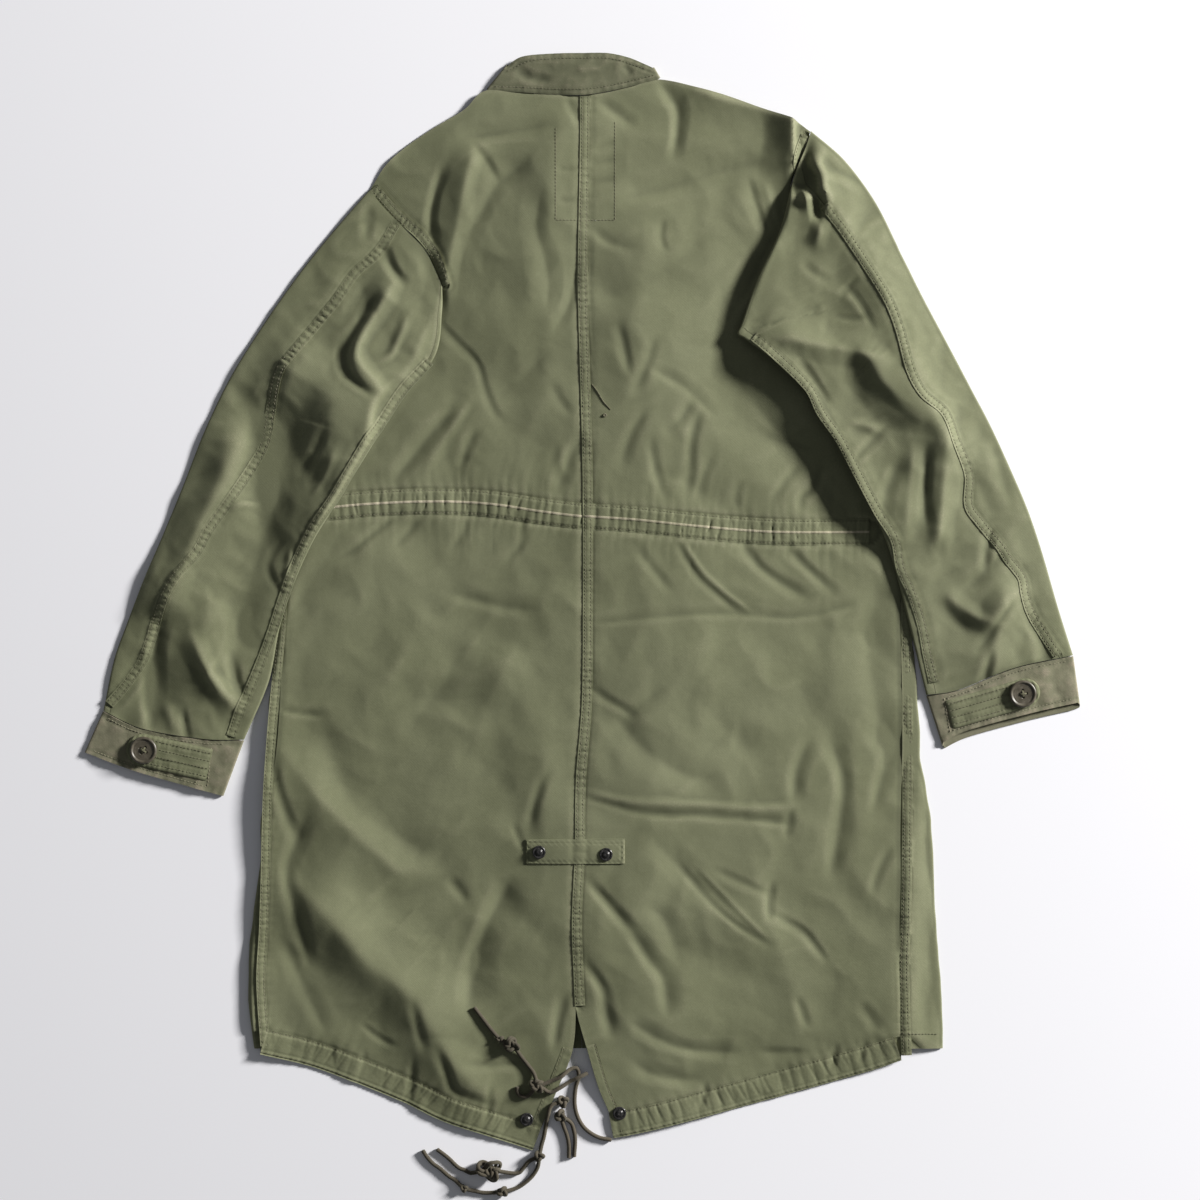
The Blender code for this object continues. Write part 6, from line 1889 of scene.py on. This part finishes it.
# name, stops, nodes it takes the place of, knots on it, the knot it leaves and what its far end is
cordParts = (
    ("cordRight", [cordRight, "knot_join"], ["cord_right"], ["knot_join"], None, "knot"),
    ("cordHookCross", [cordHook[::-1], "knot_join", cordCross], ["cord_hook", "cord_cross"], [],
     "knot_join"),
    ("cordUp", ["knot_join", cordUp, "knot_up", "knot_up_end", cordUpFree], ["cord_up", "cord_up_free"],
     ["knot_up", "knot_up_end"]),
    ("cordEdge", ["knot_tip", cordEdge, "knot_side"], ["cord_edge"], ["knot_side", "knot_tip"], None,
     "knot"),
    ("cordFringeRight", ["knot_fringe", cordFringeRight], ["cord_fringe_right"], []),
    ("cordFringeLeft", ["knot_fringe", cordFringeLeft], ["cord_fringe_left"], ["knot_fringe"]),
    ("cordLowInner", ["knot_tip", cordLowInner, "knot_cluster", cordLowInnerFree],
     ["cord_low_inner", "cord_low_inner_free"], ["knot_cluster"]),
    ("cordLowOuter",
     ["knot_tip", cordLowOuter, "knot_fork", cordLowMiddle, "knot_low_end", cordLowOuterFree],
     ["cord_low_outer", "cord_low_middle", "cord_low_outer_free"], ["knot_fork", "knot_low_end"]),
)
for name, *more in cordParts:
    buildCord(name, cordTree, *more)
print("drawcord made")

# stage
stageSetup = {"size": 9000.0, "key": (5940.0, 2770.0, 2450.0), "keySize": 1200.0, "keyPower": 1210.0,
              "keyColour": (1.0, 0.985, 0.96), "world": 0.15, "worldColour": (0.93, 0.96, 1.0, 1),
              "floorColour": (0.86, 0.86, 0.90, 1)}


def makeStage(setup):
    half = setup["size"] / 2
    data = bpy.data.meshes.new("floor")
    corners = [(x * half * mm, y * half * mm, -0.0002) for x, y in ((-1, -1), (1, -1), (1, 1), (-1, 1))]
    data.from_pydata(corners, [], [(0, 1, 2, 3)])
    floor = bpy.data.objects.new("floor", data)
    bpy.context.scene.collection.objects.link(floor)
    material, _, surface = newMaterial("paleFloor")
    surface["Base Color"].default_value = setup["floorColour"]
    surface["Roughness"].default_value = 0.7
    surface["Specular IOR Level"].default_value = 0.2
    data.materials.append(material)
    light = bpy.data.lights.new("keyLight", "AREA")
    light.energy = setup["keyPower"]
    light.size = setup["keySize"] * mm
    light.color = setup["keyColour"]
    lamp = bpy.data.objects.new("keyLight", light)
    lamp.location = Vector(setup["key"]) * mm
    lamp.rotation_euler = (-lamp.location).to_track_quat("-Z", "Y").to_euler()
    bpy.context.scene.collection.objects.link(lamp)
    world = bpy.data.worlds.new("paleRoom")
    world.use_nodes = True
    colour, strength = world.node_tree.nodes["Background"].inputs[:2]
    colour.default_value = setup["worldColour"]
    strength.default_value = setup["world"]
    bpy.context.scene.world = world
    bpy.context.scene.view_settings.view_transform = "Standard"


makeStage(stageSetup)

# each sleeve's upper and under piece, taken in turn
for side in sides:
    upper, under = sleeves[side]
